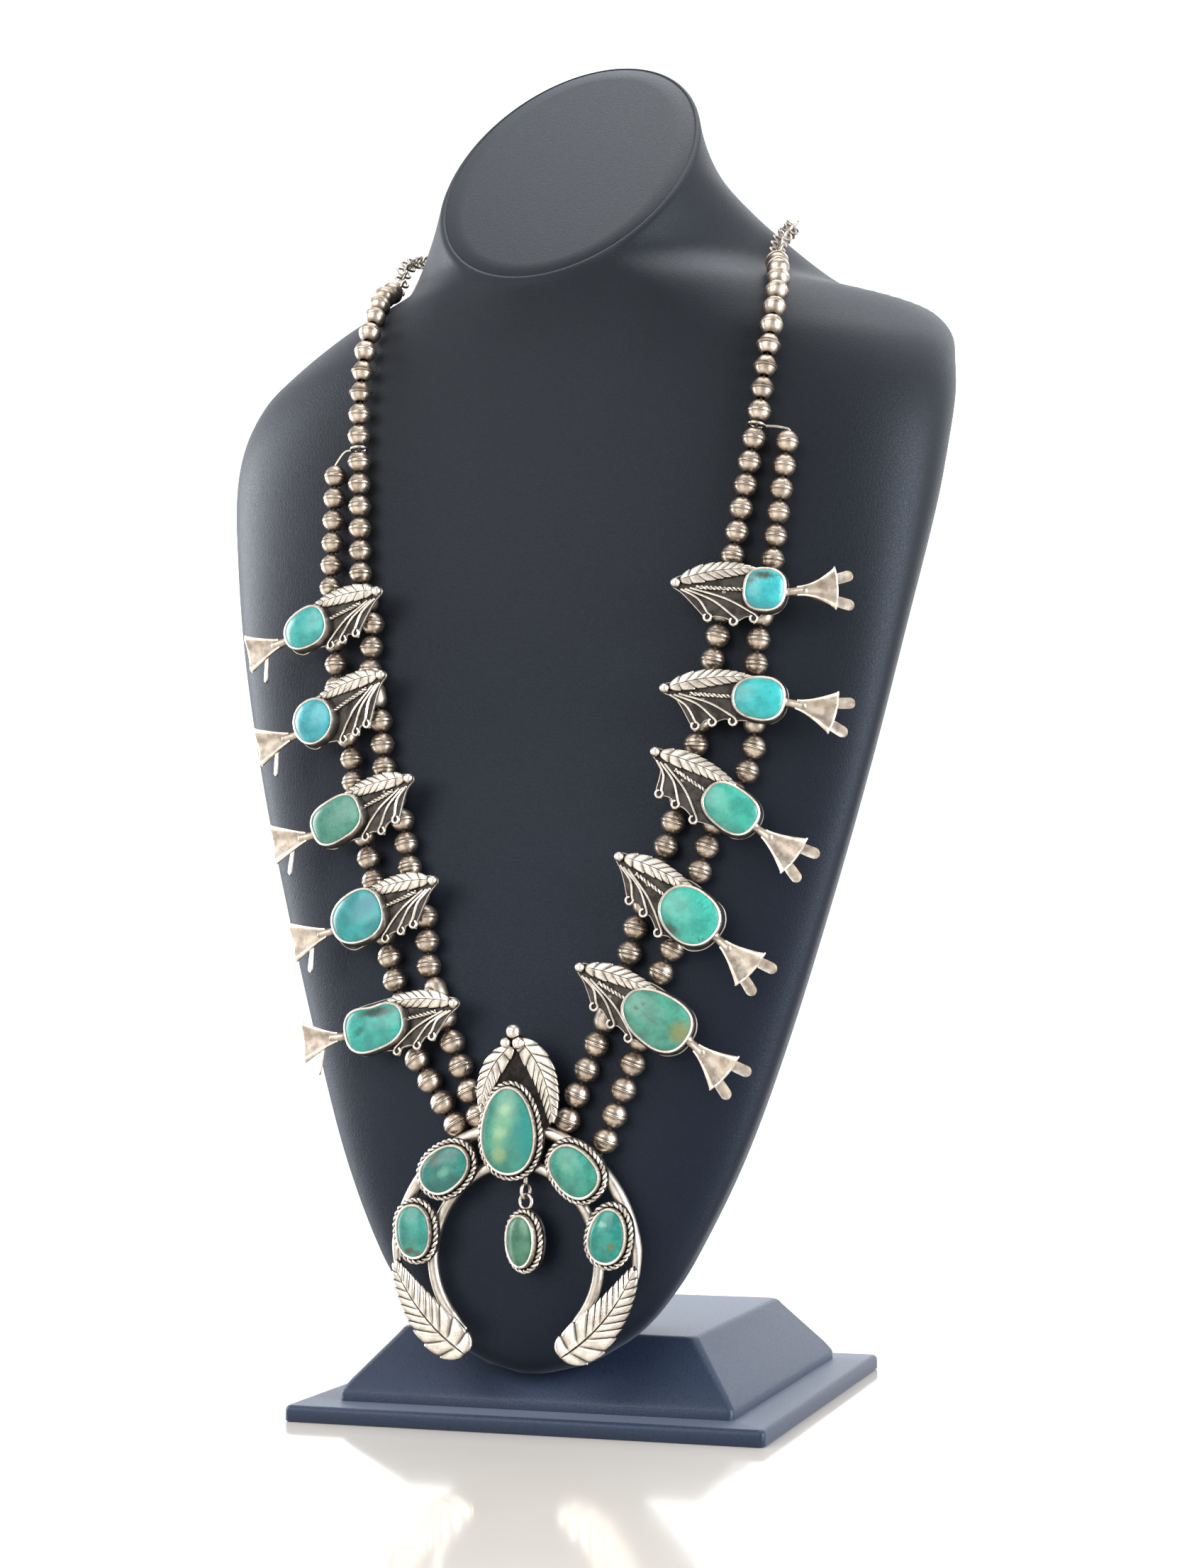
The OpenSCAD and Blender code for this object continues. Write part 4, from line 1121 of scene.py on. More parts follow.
def bored(half, profile):
    """Closes a bead's profile: its lower half mirrors the upper, and a hole runs through."""
    hole = bead_hole / 2
    profile = profile + [(a, -z, o) for a, z, o in half[::-1]]
    low = profile[-1][1]
    return profile + [(hole, low + 0.15, 1.0), (hole, -low - 0.15, 1.0)]


def bead_profile(kind):
    """Two spun domes soldered at the middle: (radius, height, oxide and painted shade) round the
    section.
    """
    r = bead_diameter / 2
    hole = bead_hole / 2
    if kind == "flanged":
        # two shallow cones that meet in a sharp flange
        top = r - 0.35
        steps = ((hole + 0.15, top), (0.56 * r, 0.93 * top), (0.72 * r, 0.72 * top),
                 (0.83 * r, 0.49 * top), (0.9 * r, 0.3 * top), (0.93 * r, 0.19 * top),
                 (r + 0.02, 0.12 * top), (r + 2 * bead_ridge, 0.05 * top))
        shades = (0.8, 0.35, 0.0, 0.0, 0.15, 0.9, 0.1, 0.0)
        half = [(a, z, o) for (a, z), o in zip(steps, shades)]
    else:
        half = [(hole + 0.1, math.sqrt(r * r - (hole + 0.1) ** 2) + 0.02, 0.7)]
        # towards the holes the ends darken: partly tarnish, partly painted shade where each bead
        # turns towards its neighbours
        for lean in (62, 54, 45, 36, 27, 19):
            b = math.radians(lean)
            half.append((r * math.cos(b), r * math.sin(b), max(0.0, (lean - 40) / 32)))
        # scored lines on both sides of the seam
        half += [(0.962 * r, 0.88, 0.1), (0.945 * r, 0.82, 0.75), (0.972 * r, 0.74, 0.05)]
        half += [(r - 0.04, 0.6, 0.1), (r - 0.13, 0.5, 1.0), (r + 0.01, 0.38, 0.1)]
        half += [(r + bead_ridge, 0.2, 0.0), (r + bead_ridge, 0.07, 0.1)]
    return bored(half, half + [(r + 0.02, 0.0, 0.9)])


def barrel_profile():
    """A long bead: two domed ends on a straight middle with a scored band at each third."""
    r = bead_diameter / 2
    hole = bead_hole / 2
    shift = (barrel_length - bead_diameter) / 2
    half = [(hole + 0.1, shift + math.sqrt(r * r - (hole + 0.1) ** 2), 0.7)]
    for lean in (60, 48, 36, 24, 13):
        b = math.radians(lean)
        half.append((r * math.cos(b), shift + r * math.sin(b), 0.0))
    half += [(r - 0.12, shift + 0.45, 1.0), (r + bead_ridge, shift + 0.2, 0.0)]
    half += [(r + bead_ridge, shift - 0.2, 0.0), (r - 0.14, shift - 0.45, 1.0)]
    half += [(0.95 * r, shift - 0.9, 0.2), (0.93 * r, 0.6, 0.1), (0.9 * r, 0.2, 0.9)]
    return bored(half, half)


profiles = {kind: bead_profile(kind) for kind in ("round", "flanged")}
profiles["barrel"] = barrel_profile()


def set_bead(work, p, d, kind="round", swell=1.0):
    """One bead at p with its hole along d, turned by chance."""
    sides = 34
    profile = profiles[kind]
    points, faces = spun([(a * swell, z * swell) for a, z, _ in profile], sides)
    shade = np.repeat([o for _, _, o in profile], sides)
    at = aimed(p, d) @ turned("z", chance.uniform(0, 360)) @ turned("x", chance.normal(0, 0.8))
    work.add(points, faces, oxide=shade, tint=chance.uniform(0.4, 1.0), at=at)


def make_strand(name, strand):
    work = Work()
    for n, r in enumerate(strand):
        run = drawn_run(strand, n)
        for i, p in enumerate(run):
            if len(run) == 1:
                way = run_way(r)
                d = np.array((way[0], 0, way[1]))
            else:
                d = run[min(i + 1, len(run) - 1)] - run[max(i - 1, 0)]
            set_bead(work, p, d, swell=swells[n])
    work.piece(f"strand_{name}", [bead_silver], [f"beads_{name}"])


def make_neck_beads():
    """The single strand up each side. Its beads are round, flanged or one long double bead."""
    for side, start, way, count, flanged in (
        ("left", 0.0, 1, left_count, (2, 3)),
        ("right", route_length, -1, right_count, (1, 2, 3)),
    ):
        work = Work()
        for i in range(count):
            s = start + way * i * bead_pitch
            set_bead(work, along(s), heading(s), "flanged" if i in flanged else "round")
        if side == "right":
            set_bead(work, along(barrel_at), heading(barrel_at), "barrel")
        work.piece(
            f"neck_beads_{side}", [bead_silver], [f"beads_upper_{side}"],
        )


def make_back_chain():
    """The chain round the back of the neck: fine links, each turned square to the next."""
    work = Work()
    link_radius = 2.3
    link_wire = 0.85
    link_step = 3.3
    first = (left_count - 0.5) * bead_pitch + link_radius
    last = barrel_at - barrel_length / 2 - link_radius
    count = 2 * round((last - first) / (link_step * 2)) + 1
    for i, s in enumerate(np.linspace(first, last, count)):
        p = along(s)
        t = heading(s)
        away = p - np.array((0, -0.15 * bust_reach, p[2]))
        n = unit(away - t * (away @ t))
        b = np.cross(t, n)
        turn = math.radians(45 if i % 2 else -45)
        g = np.cross(n * math.cos(turn) + b * math.sin(turn), t)
        loop = circle(p, link_radius, t, g, 18)
        work.add(*wire(loop, link_wire / 2, 8, True), oxide=0.15, tint=chance.uniform(0.4, 1.0))
    work.piece("back_chain_links", [chain_silver], ["back_chain"])


def make_ties():
    """Above each double strand: a ring round the inner cord, and its wire to the outer strand."""
    ring_radius = 2.3
    ring_wire = 0.84
    tie_wire = 0.8
    cord = 1.0
    for side, inner, outer, s, rise in (
        ("left", inner_left, outer_left, 0.0, 1.5),
        ("right", inner_right, outer_right, route_length, 0.3),
    ):
        below = run_beads(inner[0])[0]
        middle = (below + along(s)) / 2
        t = unit(along(s) - below)
        b = unit(np.cross(t, face(middle[0], middle[2])))
        work = Work()
        loop = circle(middle, ring_radius, b, np.cross(b, t), 28)
        work.add(*wire(loop, ring_wire / 2, 10, True), tint=1.0)
        run = run_beads(outer[0])
        up = unit(run[0] - run[1])
        top = run[0] + up * (bead_diameter / 2 + end_room)
        across = top - middle
        from_ring = middle + unit(across - t * (across @ t)) * ring_radius
        bent = smooth_curve([from_ring, (from_ring + top) / 2 + up * rise, top, top - up * 0.8], 6)
        work.add(*wire(bent, tie_wire / 2, 10), tint=1.0)
        work.piece(f"tie_{side}", [chain_silver], [f"strand_ring_{side}"])
        beads = [p for n in range(len(outer)) for p in drawn_run(outer, n)]
        work = Work()
        route = np.array([top - up * 0.6] + beads + [strand_end(outer)[0]])
        work.add(*wire(route, cord / 2, 10))
        work.piece(f"outer_cord_{side}", [cord_wax], [f"thread_outer_{side}"])


# Blossoms: place as shares, slope, whether on the left, the stone's cut, the tip's reach,
# and the middles of the three curls along the lower edge.
blossoms = (
    (-0.585, 0.5403, 20.5, True, (14.0, 10.8, -0.10, 2.4, 0), 25.3,
     ((-14.4, -8.1), (-9.7, -7.8), (-5.2, -7.5))),
    (-0.558, 0.4745, 28.5, True, (12.6, 12.2, 0.02, 2.1, 0), 25.0,
     ((-14.1, -9.6), (-9.9, -9.6), (-5.2, -9.2))),
    (-0.484, 0.4032, 25.5, True, (16.0, 11.6, 0.00, 2.8, 0), 25.0,
     ((-16.3, -8.5), (-10.9, -9.1), (-5.5, -8.2))),
    (-0.413, 0.3352, 22.5, True, (16.2, 13.8, -0.10, 2.3, 0), 25.0,
     ((-14.8, -8.7), (-10.5, -8.7), (-5.1, -8.6))),
    (-0.351, 0.2612, 14.0, True, (18.4, 12.4, 0.10, 2.6, 0), 25.0,
     ((-16.2, -6.9), (-11.0, -8.1), (-4.5, -8.0))),
    (0.596, 0.5461, -6.5, False, (10.6, 10.9, 0.00, 2.6, 0), 24.6,
     ((-14.8, -8.6), (-7.6, -9.1), (-2.2, -7.8))),
    (0.581, 0.4745, -8.0, False, (13.4, 10.9, 0.10, 2.4, 0), 26.0,
     ((-16.3, -9.2), (-11.8, -7.6), (-6.3, -6.8))),
    (0.516, 0.4015, -37.5, False, (15.4, 10.8, 0.04, 2.6, 0), 26.2,
     ((-18.3, -8.4), (-13.0, -8.0), (-6.5, -8.4))),
    (0.422, 0.3318, -39.5, False, (16.6, 13.6, 0.05, 2.2, 0), 25.4,
     ((-15.5, -7.3), (-10.4, -7.4), (-3.8, -9.0))),
    (0.348, 0.2650, -33.0, False, (19.2, 13.2, 0.14, 2.4, 0), 25.4,
     ((-16.3, -6.6), (-9.9, -7.9), (-3.8, -8.4))),
)


# each blossom's flower: degrees it is bent off the blossom's line, and how late it flares
flowers = (
    (6, 1.2), (14, 1.15), (14, 1.1), (8, 1.15), (6, 1.3),
    (8, 2.0), (-7, 1.45), (0, 1.35), (-3, 1.35), (-8, 1.4),
)


def blossom_frame(x, z, slope, left):
    """X from the tip to the petals, Z out of the chest."""
    n = face(x, z)
    ex = unit(np.array((1.0, 0, 0)) - n * n[0])
    m = axes(ex, np.cross(n, ex), n, on_chest(x, z, blossom_lift)) @ turned("z", slope)
    return m @ MIRRORED if left else m


def make_shank(work, x, z, strand, i):
    """A tube for one strand, soldered behind the blossom on a post."""
    a = drawn_run(strand, i)[-1]
    c = drawn_run(strand, i + 1)[0]
    d = unit(c - a)
    m = (a + c) / 2
    length = np.linalg.norm(c - a) - bead_pitch - shank_room
    n = face(x, z)
    p = on_chest(x, z, blossom_lift)
    r = bead_diameter / 2 - 0.15
    sides = 24
    h = length / 2
    lean = np.radians((65, 50, 35, 20, 5))
    upper = [(r * math.cos(b), h - r + r * math.sin(b)) for b in lean]
    upper.insert(0, (shank_bore / 2, upper[0][1]))
    profile = upper + [(out, -high) for out, high in upper[::-1]]
    dark = (1, 0.6, 0.3, 0.1, 0.1, 0.4)
    shade = np.repeat(dark + dark[::-1], sides)
    points, faces = spun(profile, sides)
    work.add(points, faces, oxide=shade, finish=FLOWER, at=aimed(m, d))
    post = max(0.6, (p - m) @ n + blossom_plate / 2)
    work.add(*wire([m + n * 1.2, m + n * (post - 0.4)], shank_post / 2, 16), oxide=0.5)


def petal_skin(work, across, half, height, thick, at, shade, bow=0.0):
    """A curved sheet petal. half and height give its half width and its rise."""
    steps = 18
    rows_top = []
    rows_low = []
    dark = []
    for u in 1 - (1 - np.linspace(0, 1, steps)) ** 1.7:
        x, side = half(u)
        y = np.array(across) * side
        z = np.array([height(u, v) for v in across])
        x = x + bow * u**2 * (1 - np.square(across))
        rows_top.append(np.stack([x, y, z], 1))
        rows_low.append(np.stack([x, y, z - thick], 1))
        # darker towards the stem and the middle: partly oxide, partly painted shade inside the
        # flower's throat
        dark.append(shade * (1.1 - 0.55 * u) * (1 - np.abs(across) ** 3))
        dark.append(np.full(len(across), 0.7))
    loops = [np.vstack([a, b[::-1]]) for a, b in zip(rows_top, rows_low)]
    points, faces = woven(loops)
    work.add(points, faces, oxide=np.concatenate(dark), tint=0.7, finish=FLOWER, at=at)


def make_petals(work, cut, at, left, bend, flare):
    """The open flower behind the stone: a flared front petal and two back ones.

    Bend turns the flower away from the blossom's line, and flare is how late it opens.
    """
    start = cut[0] / 2 + 0.3
    at = at @ moved(start, 0, 0) @ turned("z", bend) @ moved(-start, 0, 0)
    mid = blossom_plate + 0.9
    r = stem_diameter / 2
    collar = [(0, r), (0.4, r + 0.25), (0.9, r), (2.4, 0.82 * r), (3.8, r), (5.0, 1.15 * r)]
    stem = [(start + x, 0, mid) for x, _ in collar]
    work.add(*wire(smooth_curve(stem, 3), np.interp(
        np.linspace(0, 5, 16), [x for x, _ in collar], [s for _, s in collar]), 16),
        oxide=0.3, finish=FLOWER, at=at)
    root = start + 3.2
    across = (-1.0, -0.93, -0.85, -0.7, -0.5, -0.25, 0.0, 0.25, 0.5, 0.7, 0.85, 0.93, 1.0)

    def front_half(u):
        return root + (front_petal + 0.6) * u, 1.3 + (petal_mouth / 2 - 1.1) * u**flare

    def front_height(u, v):
        ridge = math.exp(-(((abs(v) - 0.8) / 0.22) ** 2))
        return mid + 0.9 + 1.1 * u + u * (0.6 * ridge - 0.7 * (1 - v * v) ** 2)

    bow = 0.6
    sheet_thick = 0.55
    rim_wire = 0.58
    petal_skin(work, across, front_half, front_height, sheet_thick, at, 0.5, bow)
    # the mouth's bright rim
    x, side = front_half(1.0)
    rim = [
        (x + 0.03 + bow * (1 - v * v), v * side, front_height(1.0, v) - 0.22)
        for v in np.linspace(-1.0, 1.0, 15)
    ]
    work.add(*wire(rim, rim_wire / 2, 8), tint=1.0, at=at)
    # back petals: start, turn, roll, length and curl. On the left side of the necklace the
    # lower one hangs down with its edge to the viewer and the upper one is folded under.
    if left:
        backs = ((4.2, -66, -39, 0.72 * back_petal, 0.8), (0.6, 8, 0, 0.62 * back_petal, 2.6))
    else:
        backs = ((0.6, -17, 0, 1.08 * back_petal, 2.6), (0.6, 17, 0, 1.08 * back_petal, 2.6))
    for begin, turn, roll, length, curl in backs:
        lean = at @ moved(root + begin, 0, mid - 0.1) @ turned("z", turn) @ turned("x", roll)

        def back_half(u):
            body = 0.9 + 0.6 * min(1, 1.3 * u)
            blunt = math.sqrt(max(0.01, 1 - max(0, (u - 0.9) / 0.1) ** 2))
            return length * u, body * blunt

        def back_height(u, v):
            return 0.3 - curl * u**1.6 + 0.3 * v * v

        petal_skin(work, across[::2], back_half, back_height, 0.5, lean, 0.2)


def make_curls(work, centres, tip, at):
    """Three wires that fan out from the tip, each ending in an open curl past the plate's edge."""
    top = blossom_plate + 0.2
    curl_radius = 0.98
    curl_wire = 0.74
    starts = ((1.9, -1.6), (3.0, -1.4), (4.3, -1.0))
    for (sx, sy), (cx, cy) in zip(starts, centres):
        turn = np.radians(np.linspace(70, -215, 24))
        curl = np.stack([cx + curl_radius * np.cos(turn), cy + curl_radius * np.sin(turn)], 1)
        first = curl[0]
        start = np.array((sx - tip, sy))
        mid = (start + first) / 2 + (0.6, 0.9)
        lead = smooth_curve([start, mid, first - (0.6, -0.45), first], 7)[:-1]
        path = level(np.vstack([lead, curl]), top)
        work.add(*wire(path, curl_wire / 2, 8), oxide=0.02, tint=1.0, at=at)


def set_stone(name, node, stuff, outline, floor, at, body=NECKLACE):
    """A stone as a piece of its own. Its colours keep their places from its middle."""
    stone = Work()
    stone.add(*cabochon(outline, floor), at=at)
    stone.piece(name, [stuff], [node], body, centre=at[:3, 3], crease=50)


def make_blossom(k):
    """One squash blossom with its setting, leaf, curls, flower, shanks and stone."""
    x_share, z_share, slope, left, cut, tip, centres = blossoms[k]
    x = x_share * half_bust
    z = z_share * bust_height
    i = k % 5
    at = blossom_frame(x, z, slope, left)
    # the last stone on the left has a dent in its upper edge
    outline = cut_shape(cut, dent=1.1 if k == 4 else 0.0)
    work = Work()
    r = blossom_reach
    h = cut[0] / 2
    q = cut[1] / 2
    edge = [(-tip - 0.9, 1.0), (-0.9 * r, 2.4), (-0.7 * r, 4.1), (-0.46 * r, 5.3)]
    edge += [(-h - 0.2, q * 0.9), (-0.7 * h, q + 0.7), (0, q + 0.9), (0.7 * h, q + 0.5)]
    edge += [(h + 0.9, 0.5 * q)]
    edge += [(h + 0.9, -0.5 * q), (0.7 * h, -q - 0.6), (0.1 * h, -q - 0.9)]
    for cx, cy in centres[::-1]:
        edge += [(cx + 1.55, cy + 0.3), (cx, cy - 1.5), (cx - 1.5, cy + 0.3)]
    edge += [(-0.86 * r, -2.9), (-tip - 0.9, -1.0)]
    flat = even(smooth_curve(edge[::-1], 6, True), 0.5, True)
    back_plate(work, flat, 0.0, blossom_plate, 0.3, at)
    points, faces, shade = bezel(outline, blossom_plate)
    work.add(points, faces, oxide=shade, tint=0.9, at=at)
    cup = grown(outline, 1.1)
    work.add(*sheet(cup, blossom_plate - 0.2, blossom_plate + 0.35, 0.15), oxide=0.6,
             finish=PLATE, at=at)
    work.add(*ball(tip_ball / 2, 24), tint=1.0, at=at @ moved(-tip, 0, blossom_plate + 0.7))
    leaf_end = -0.09 * r
    length = tip - 0.5 + leaf_end
    leaf(work, length, width=5.3, veins=9, thick=1.2, bow=-1.2,
         at=at @ moved(leaf_end, 5.6, blossom_plate - 0.1) @ turned("z", 180 + 12.5),
         cut=0.17, scallop=0.17, blunt=3.2)
    line = [(-0.72 * r, -0.6, blossom_plate + 0.4), (-h - 0.4, -0.2, blossom_plate + 0.4)]
    twisted(work, carried(at, line), thick=1.15, lay=2.5, tint=1.0)
    make_curls(work, centres, tip, at)
    bend, flare = flowers[k]
    make_petals(work, cut, at, left, bend, flare)
    side = "left" if left else "right"
    for strand in ("inner", "outer"):
        make_shank(work, x, z, strands[f"{strand}_{side}"], i)
    work.piece(f"blossom_{side}_{i + 1}_work", METALS, [f"blossom_{side}_{i + 1}"])
    name = f"stone_{side}_{i + 1}"
    set_stone(f"{name}_cut", name, blossom_stones[k], outline, blossom_plate, at)


# Each blossom's stone: body colour, lighter and deeper cloud, host rock, and its spots.
brown = "#4a3a24"
blossom_stones = (
    turquoise("turquoise_l1", "#3db8af", "#7fd0c6", "#2b9a96", 0.25),
    turquoise("turquoise_l2", "#43b6c0", "#83cfd6", "#2f98a4", 0.1),
    turquoise("turquoise_l3", "#4f9a84", "#7fb59a", "#3a7f6e", 0.5, "#3a3a2a"),
    turquoise("turquoise_l4", "#30a9a8", "#66c3bd", "#20898a", 0.15, spots=(
        (2.5, 3.0, 5.5, 3.2, 20, "#227f96", 0.6),)),
    turquoise("turquoise_l5", "#35b5a5", "#74cdbd", "#26958a", 0.3, "#1d2a24", (
        (0.5, 4.2, 6.0, 1.5, 8, "#20332b", 0.95), (-4.5, -1.0, 2.6, 1.2, 30, "#2a6a5c", 0.7))),
    turquoise("turquoise_r1", "#38c0c4", "#80d8d8", "#28a0a6", 0.5, brown, (
        (0.5, 3.9, 3.2, 1.3, -5, brown, 0.9), (-2.6, 2.6, 1.2, 0.9, 20, "#5a4a30", 0.8))),
    turquoise("turquoise_r2", "#35bebd", "#7ad6d2", "#269f9f", 0.12),
    turquoise("turquoise_r3", "#3fb39d", "#7bcbb4", "#2d9383", 0.2),
    turquoise("turquoise_r4", "#3dbba6", "#7dd2bf", "#2c9b89", 0.45, "#20302a", (
        (-4.2, -3.4, 3.0, 1.6, -35, "#22382f", 0.85),)),
    turquoise("turquoise_r5", "#4ca088", "#7fb894", "#37826e", 0.2, "#2c3326", (
        (7.2, -3.4, 3.2, 3.4, -30, "#8f8a4c", 0.75), (-4.6, 3.2, 0.8, 0.6, 0, "#2e3a2c", 0.8),
        (-2.7, 4.3, 0.7, 0.6, 0, "#2e3a2c", 0.8), (-1.0, 0.6, 5.4, 0.3, -40, "#2e5a4a", 0.5))),
)


# Naja

# each setting: its turn from the top, its share of the crescent's middle radius, its stone
setting_rows = (
    (0.0, 1.188, (22.5, 14.3, -0.13, 2.1, 90)),
    (-37.6, 1.043, (14.4, 10.4, -0.05, 2.2, 38)),
    (37.6, 1.043, (14.6, 10.8, 0.05, 2.3, -46)),
    (-75.4, 0.985, (13.6, 9.0, 0.02, 2.2, 94)),
    (75.4, 0.985, (13.8, 9.4, -0.10, 2.1, 80)),
)
settings = [
    (
        naja_middle * r * math.sin(math.radians(a)),
        naja_middle * r * math.cos(math.radians(a)),
        cut,
    )
    for a, r, cut in setting_rows
]


def make_setting(work, cut, floor, at):
    """A bezel on a blackened cup, with twisted wire laid round its foot."""
    outline = cut_shape(cut)
    out = bezel_wall + stone_gap
    work.add(*sheet(grown(outline, out + rope_width), floor - 1, floor), oxide=0.3,
             finish=PLATE, at=at)
    points, faces, shade = bezel(outline, floor)
    work.add(points, faces, oxide=shade, tint=0.9, at=at)
    line = level(grown(outline, out + rope_width / 2 - 0.05), floor + rope_width / 2 - 0.1)
    twisted(work, carried(at, line), rope_width, 2 * rope_width, True, 8, tint=0.85)


def make_naja():
    """The crescent with its tubes, settings, leaves, crest and the loop for the drop."""
    at = naja_frame()
    work = Work()
    # the crescent is a little taller than round, so its arch is drawn up towards the top
    for radius, thick, start, arch in (
        (naja_outer_radius, naja_outer_wire, 6, 0.03),
        (naja_inner_radius, naja_inner_wire, 52, 0.08),
    ):
        a = np.radians(np.linspace(-start, 180 + start, 150))
        high = radius * np.sin(a) * (1 + arch * np.maximum(0, np.sin(a)))
        path = np.stack([radius * np.cos(a), high, np.full(len(a), naja_outer_wire / 2)], 1)
        from_end = np.degrees(np.minimum(a - a[0], a[-1] - a))
        slim = thick / 2 * (0.5 + 0.5 * np.clip(from_end / 12, 0, 1))
        work.add(*wire(path, slim, 20), oxide=0.22, tint=0.5, at=at)
    for strand in strands.values():
        p, d = strand_end(strand)
        h = end_tube / 2
        profile = ((0.75, -h), (1.4, -h), (1.5, -h + 0.2), (1.5, -h + 0.7), (1.35, -h + 0.9),
                   (1.35, h - 0.3), (1.2, h), (0.75, h))
        shade = np.repeat((1, 0.2, 0, 0, 0.7, 0.3, 0.3, 1), 20)
        points, faces = spun(profile, 20)
        work.add(points, faces, oxide=shade, at=aimed(p, d))
    work.piece("naja_crescent", METALS, ["naja"])

    work = Work()
    for x, y, cut in settings:
        make_setting(work, cut, setting_floor, at @ moved(x, y, 0))
    # solder pads carry each setting on the two wires
    for x, y, cut in settings:
        pad = cut_shape((cut[0] * 0.8, cut[1] * 0.8, 0, 2.2, cut[4]), 40)
        work.add(*sheet(pad, 2.2, setting_floor - 0.9, 0.2), oxide=0.8, finish=PLATE,
                 at=at @ moved(x, y, 0))
    work.piece("naja_settings", METALS)

    work = Work()
    for side in (np.eye(4), MIRRORED):
        end = moved(1.191 * naja_middle, -0.8, naja_outer_wire - 0.6) @ turned("z", 229)
        leaf(work, end_leaf_length, end_leaf_width, veins=11, thick=1.7, bow=2.7,
             at=at @ side @ end, cut=0.22, scallop=0.1)
    work.piece("naja_end_leaves", METALS)

    work = Work()
    crest = ((-0.40, 0.21), (-0.42, 0.43), (-0.35, 0.66), (-0.14, 0.87), (0.07, 0.96), (0.28, 0.90),
             (0.49, 0.68), (0.58, 0.40), (0.55, 0.09), (0.23, -0.06), (-0.23, -0.06))
    top = settings[0][1]
    shape = even(smooth_curve(
        [(x * crest_width, top + y * crest_height) for x, y in crest[::-1]], 6, True), 0.7, True)
    work.add(*sheet(shape, setting_floor - 0.6, setting_floor + 0.5, 0.3), oxide=0.75,
             finish=PLATE, at=at)

    def spot(x, y, z):
        return at @ moved(x * crest_width, top + y * crest_height, z)

    # each leaf of the crest: length as a share, width, veins, bow, place as shares, and turn
    for length, width, veins, bow, x, y, turn in (
        (0.94, 7.6, 10, -2.8, 0.56, 0.06, 112), (0.775, 6.4, 8, 2.6, -0.37, 0.155, 65),
    ):
        leaf(work, length * crest_height, width, veins, thick=1.4, bow=bow,
             at=spot(x, y, leaf_floor) @ turned("z", turn), cut=0.2, scallop=0.14, blunt=4)
    for x, y, size in ((0.07, 1.0, 4.0), (-0.03, 0.887, 3.0), (0.135, 0.883, 3.4)):
        work.add(*ball(size / 2, 26), tint=1.0, at=spot(x, y, leaf_floor + 1.6))
    work.piece("naja_crest", METALS)

    work = Work()
    hang = at @ moved(drop_side, loop_drop, loop_out) @ turned("y", -drop_turn)
    ring = circle((0, 0, 0), loop_radius, (0, 0, 1), (0, 1, 0), 40)
    work.add(*wire(ring, loop_wire / 2, 12, True), oxide=0.1, at=hang)
    neck = [(0, loop_radius + 0.3, 0), (0, loop_radius + 3.2, 0)]
    work.add(*wire(neck, 0.7, 12), oxide=0.3, at=hang)
    work.piece("naja_loop", METALS)

    names = ("centre", "upper_left", "upper_right", "lower_left", "lower_right")
    for name, (x, y, cut), stuff in zip(names, settings, naja_stones):
        set_stone(f"naja_{name}_cut", f"naja_stone_{name}", stuff, cut_shape(cut), setting_floor,
                  at @ moved(x, y, 0))


def make_drop():
    """The pendant that swings from the naja's loop by its own ring."""
    at = naja_frame() @ moved(drop_side, loop_drop - loop_radius, loop_out)
    at = at @ turned("y", -drop_turn)
    work = Work()
    ring = circle((0, 0, 0), drop_ring_radius, (1, 0, 0), (0, 1, 0), 40)
    work.add(*wire(ring, loop_wire / 2, 12, True), oxide=0.1, tint=1.0,
             at=at @ moved(0, ring_rise - drop_ring_radius, 0))
    here = at @ moved(0, drop_middle, 0)
    make_setting(work, drop_cut, drop_floor, here)
    work.piece("drop_setting", METALS, ["drop"], DROP)
    outline = cut_shape(drop_cut)
    set_stone("drop_cut_stone", "drop_stone", drop_stuff, outline, drop_floor, here, DROP)


naja_stones = (
    turquoise("turquoise_centre", "#3e9e86", "#6fb79b", "#2b8272", 0.15, spots=(
        (4.8, -1.5, 3.0, 8.0, 0, "#1f8f88", 0.8), (-1.3, 1.0, 3.2, 9.0, -14, "#8fc79c", 0.65),
        (-0.4, 5.6, 1.9, 1.6, 0, "#b4d8a8", 0.55), (-1.8, -0.6, 2.2, 1.8, 20, "#b4d8a8", 0.6),
        (-2.2, -6.4, 2.6, 2.2, 20, "#a4b67e", 0.6), (0.2, -3.2, 1.6, 2.4, 0, "#3a9c86", 0.5))),
    turquoise("turquoise_upper_left", "#2a8c80", "#74bda2", "#1a6c66", 0.4, brown, (
        (-2.6, 2.6, 2.6, 1.5, 30, "#56604e", 0.75), (0.4, -0.6, 2.2, 1.3, 35, "#74bb98", 0.7),
        (3.0, -2.6, 1.8, 0.9, 50, "#3c5f4c", 0.6))),
    turquoise("turquoise_upper_right", "#3aa28c", "#86c7a8", "#28836f", 0.25, spots=(
        (-1.5, 1.0, 2.6, 1.6, -30, "#7cc3a4", 0.6),)),
    turquoise("turquoise_lower_left", "#3fa393", "#72bfaa", "#2c8578", 0.2, brown, (
        (-0.8, -5.0, 1.8, 1.1, 10, "#57452a", 0.85), (1.2, -5.6, 1.2, 0.8, 0, "#6b5632", 0.8))),
    turquoise("turquoise_lower_right", "#1e9c8c", "#56bba6", "#137b70", 0.15, spots=(
        (-1.0, 3.2, 1.3, 1.0, 0, "#8fd3bd", 0.8), (1.4, -2.4, 1.3, 1.1, 0, "#6c7040", 0.75))),
)
drop_stuff = turquoise("turquoise_drop", "#4f8f6f", "#7fae86", "#3a7359", 0.35, "#3a3a24")

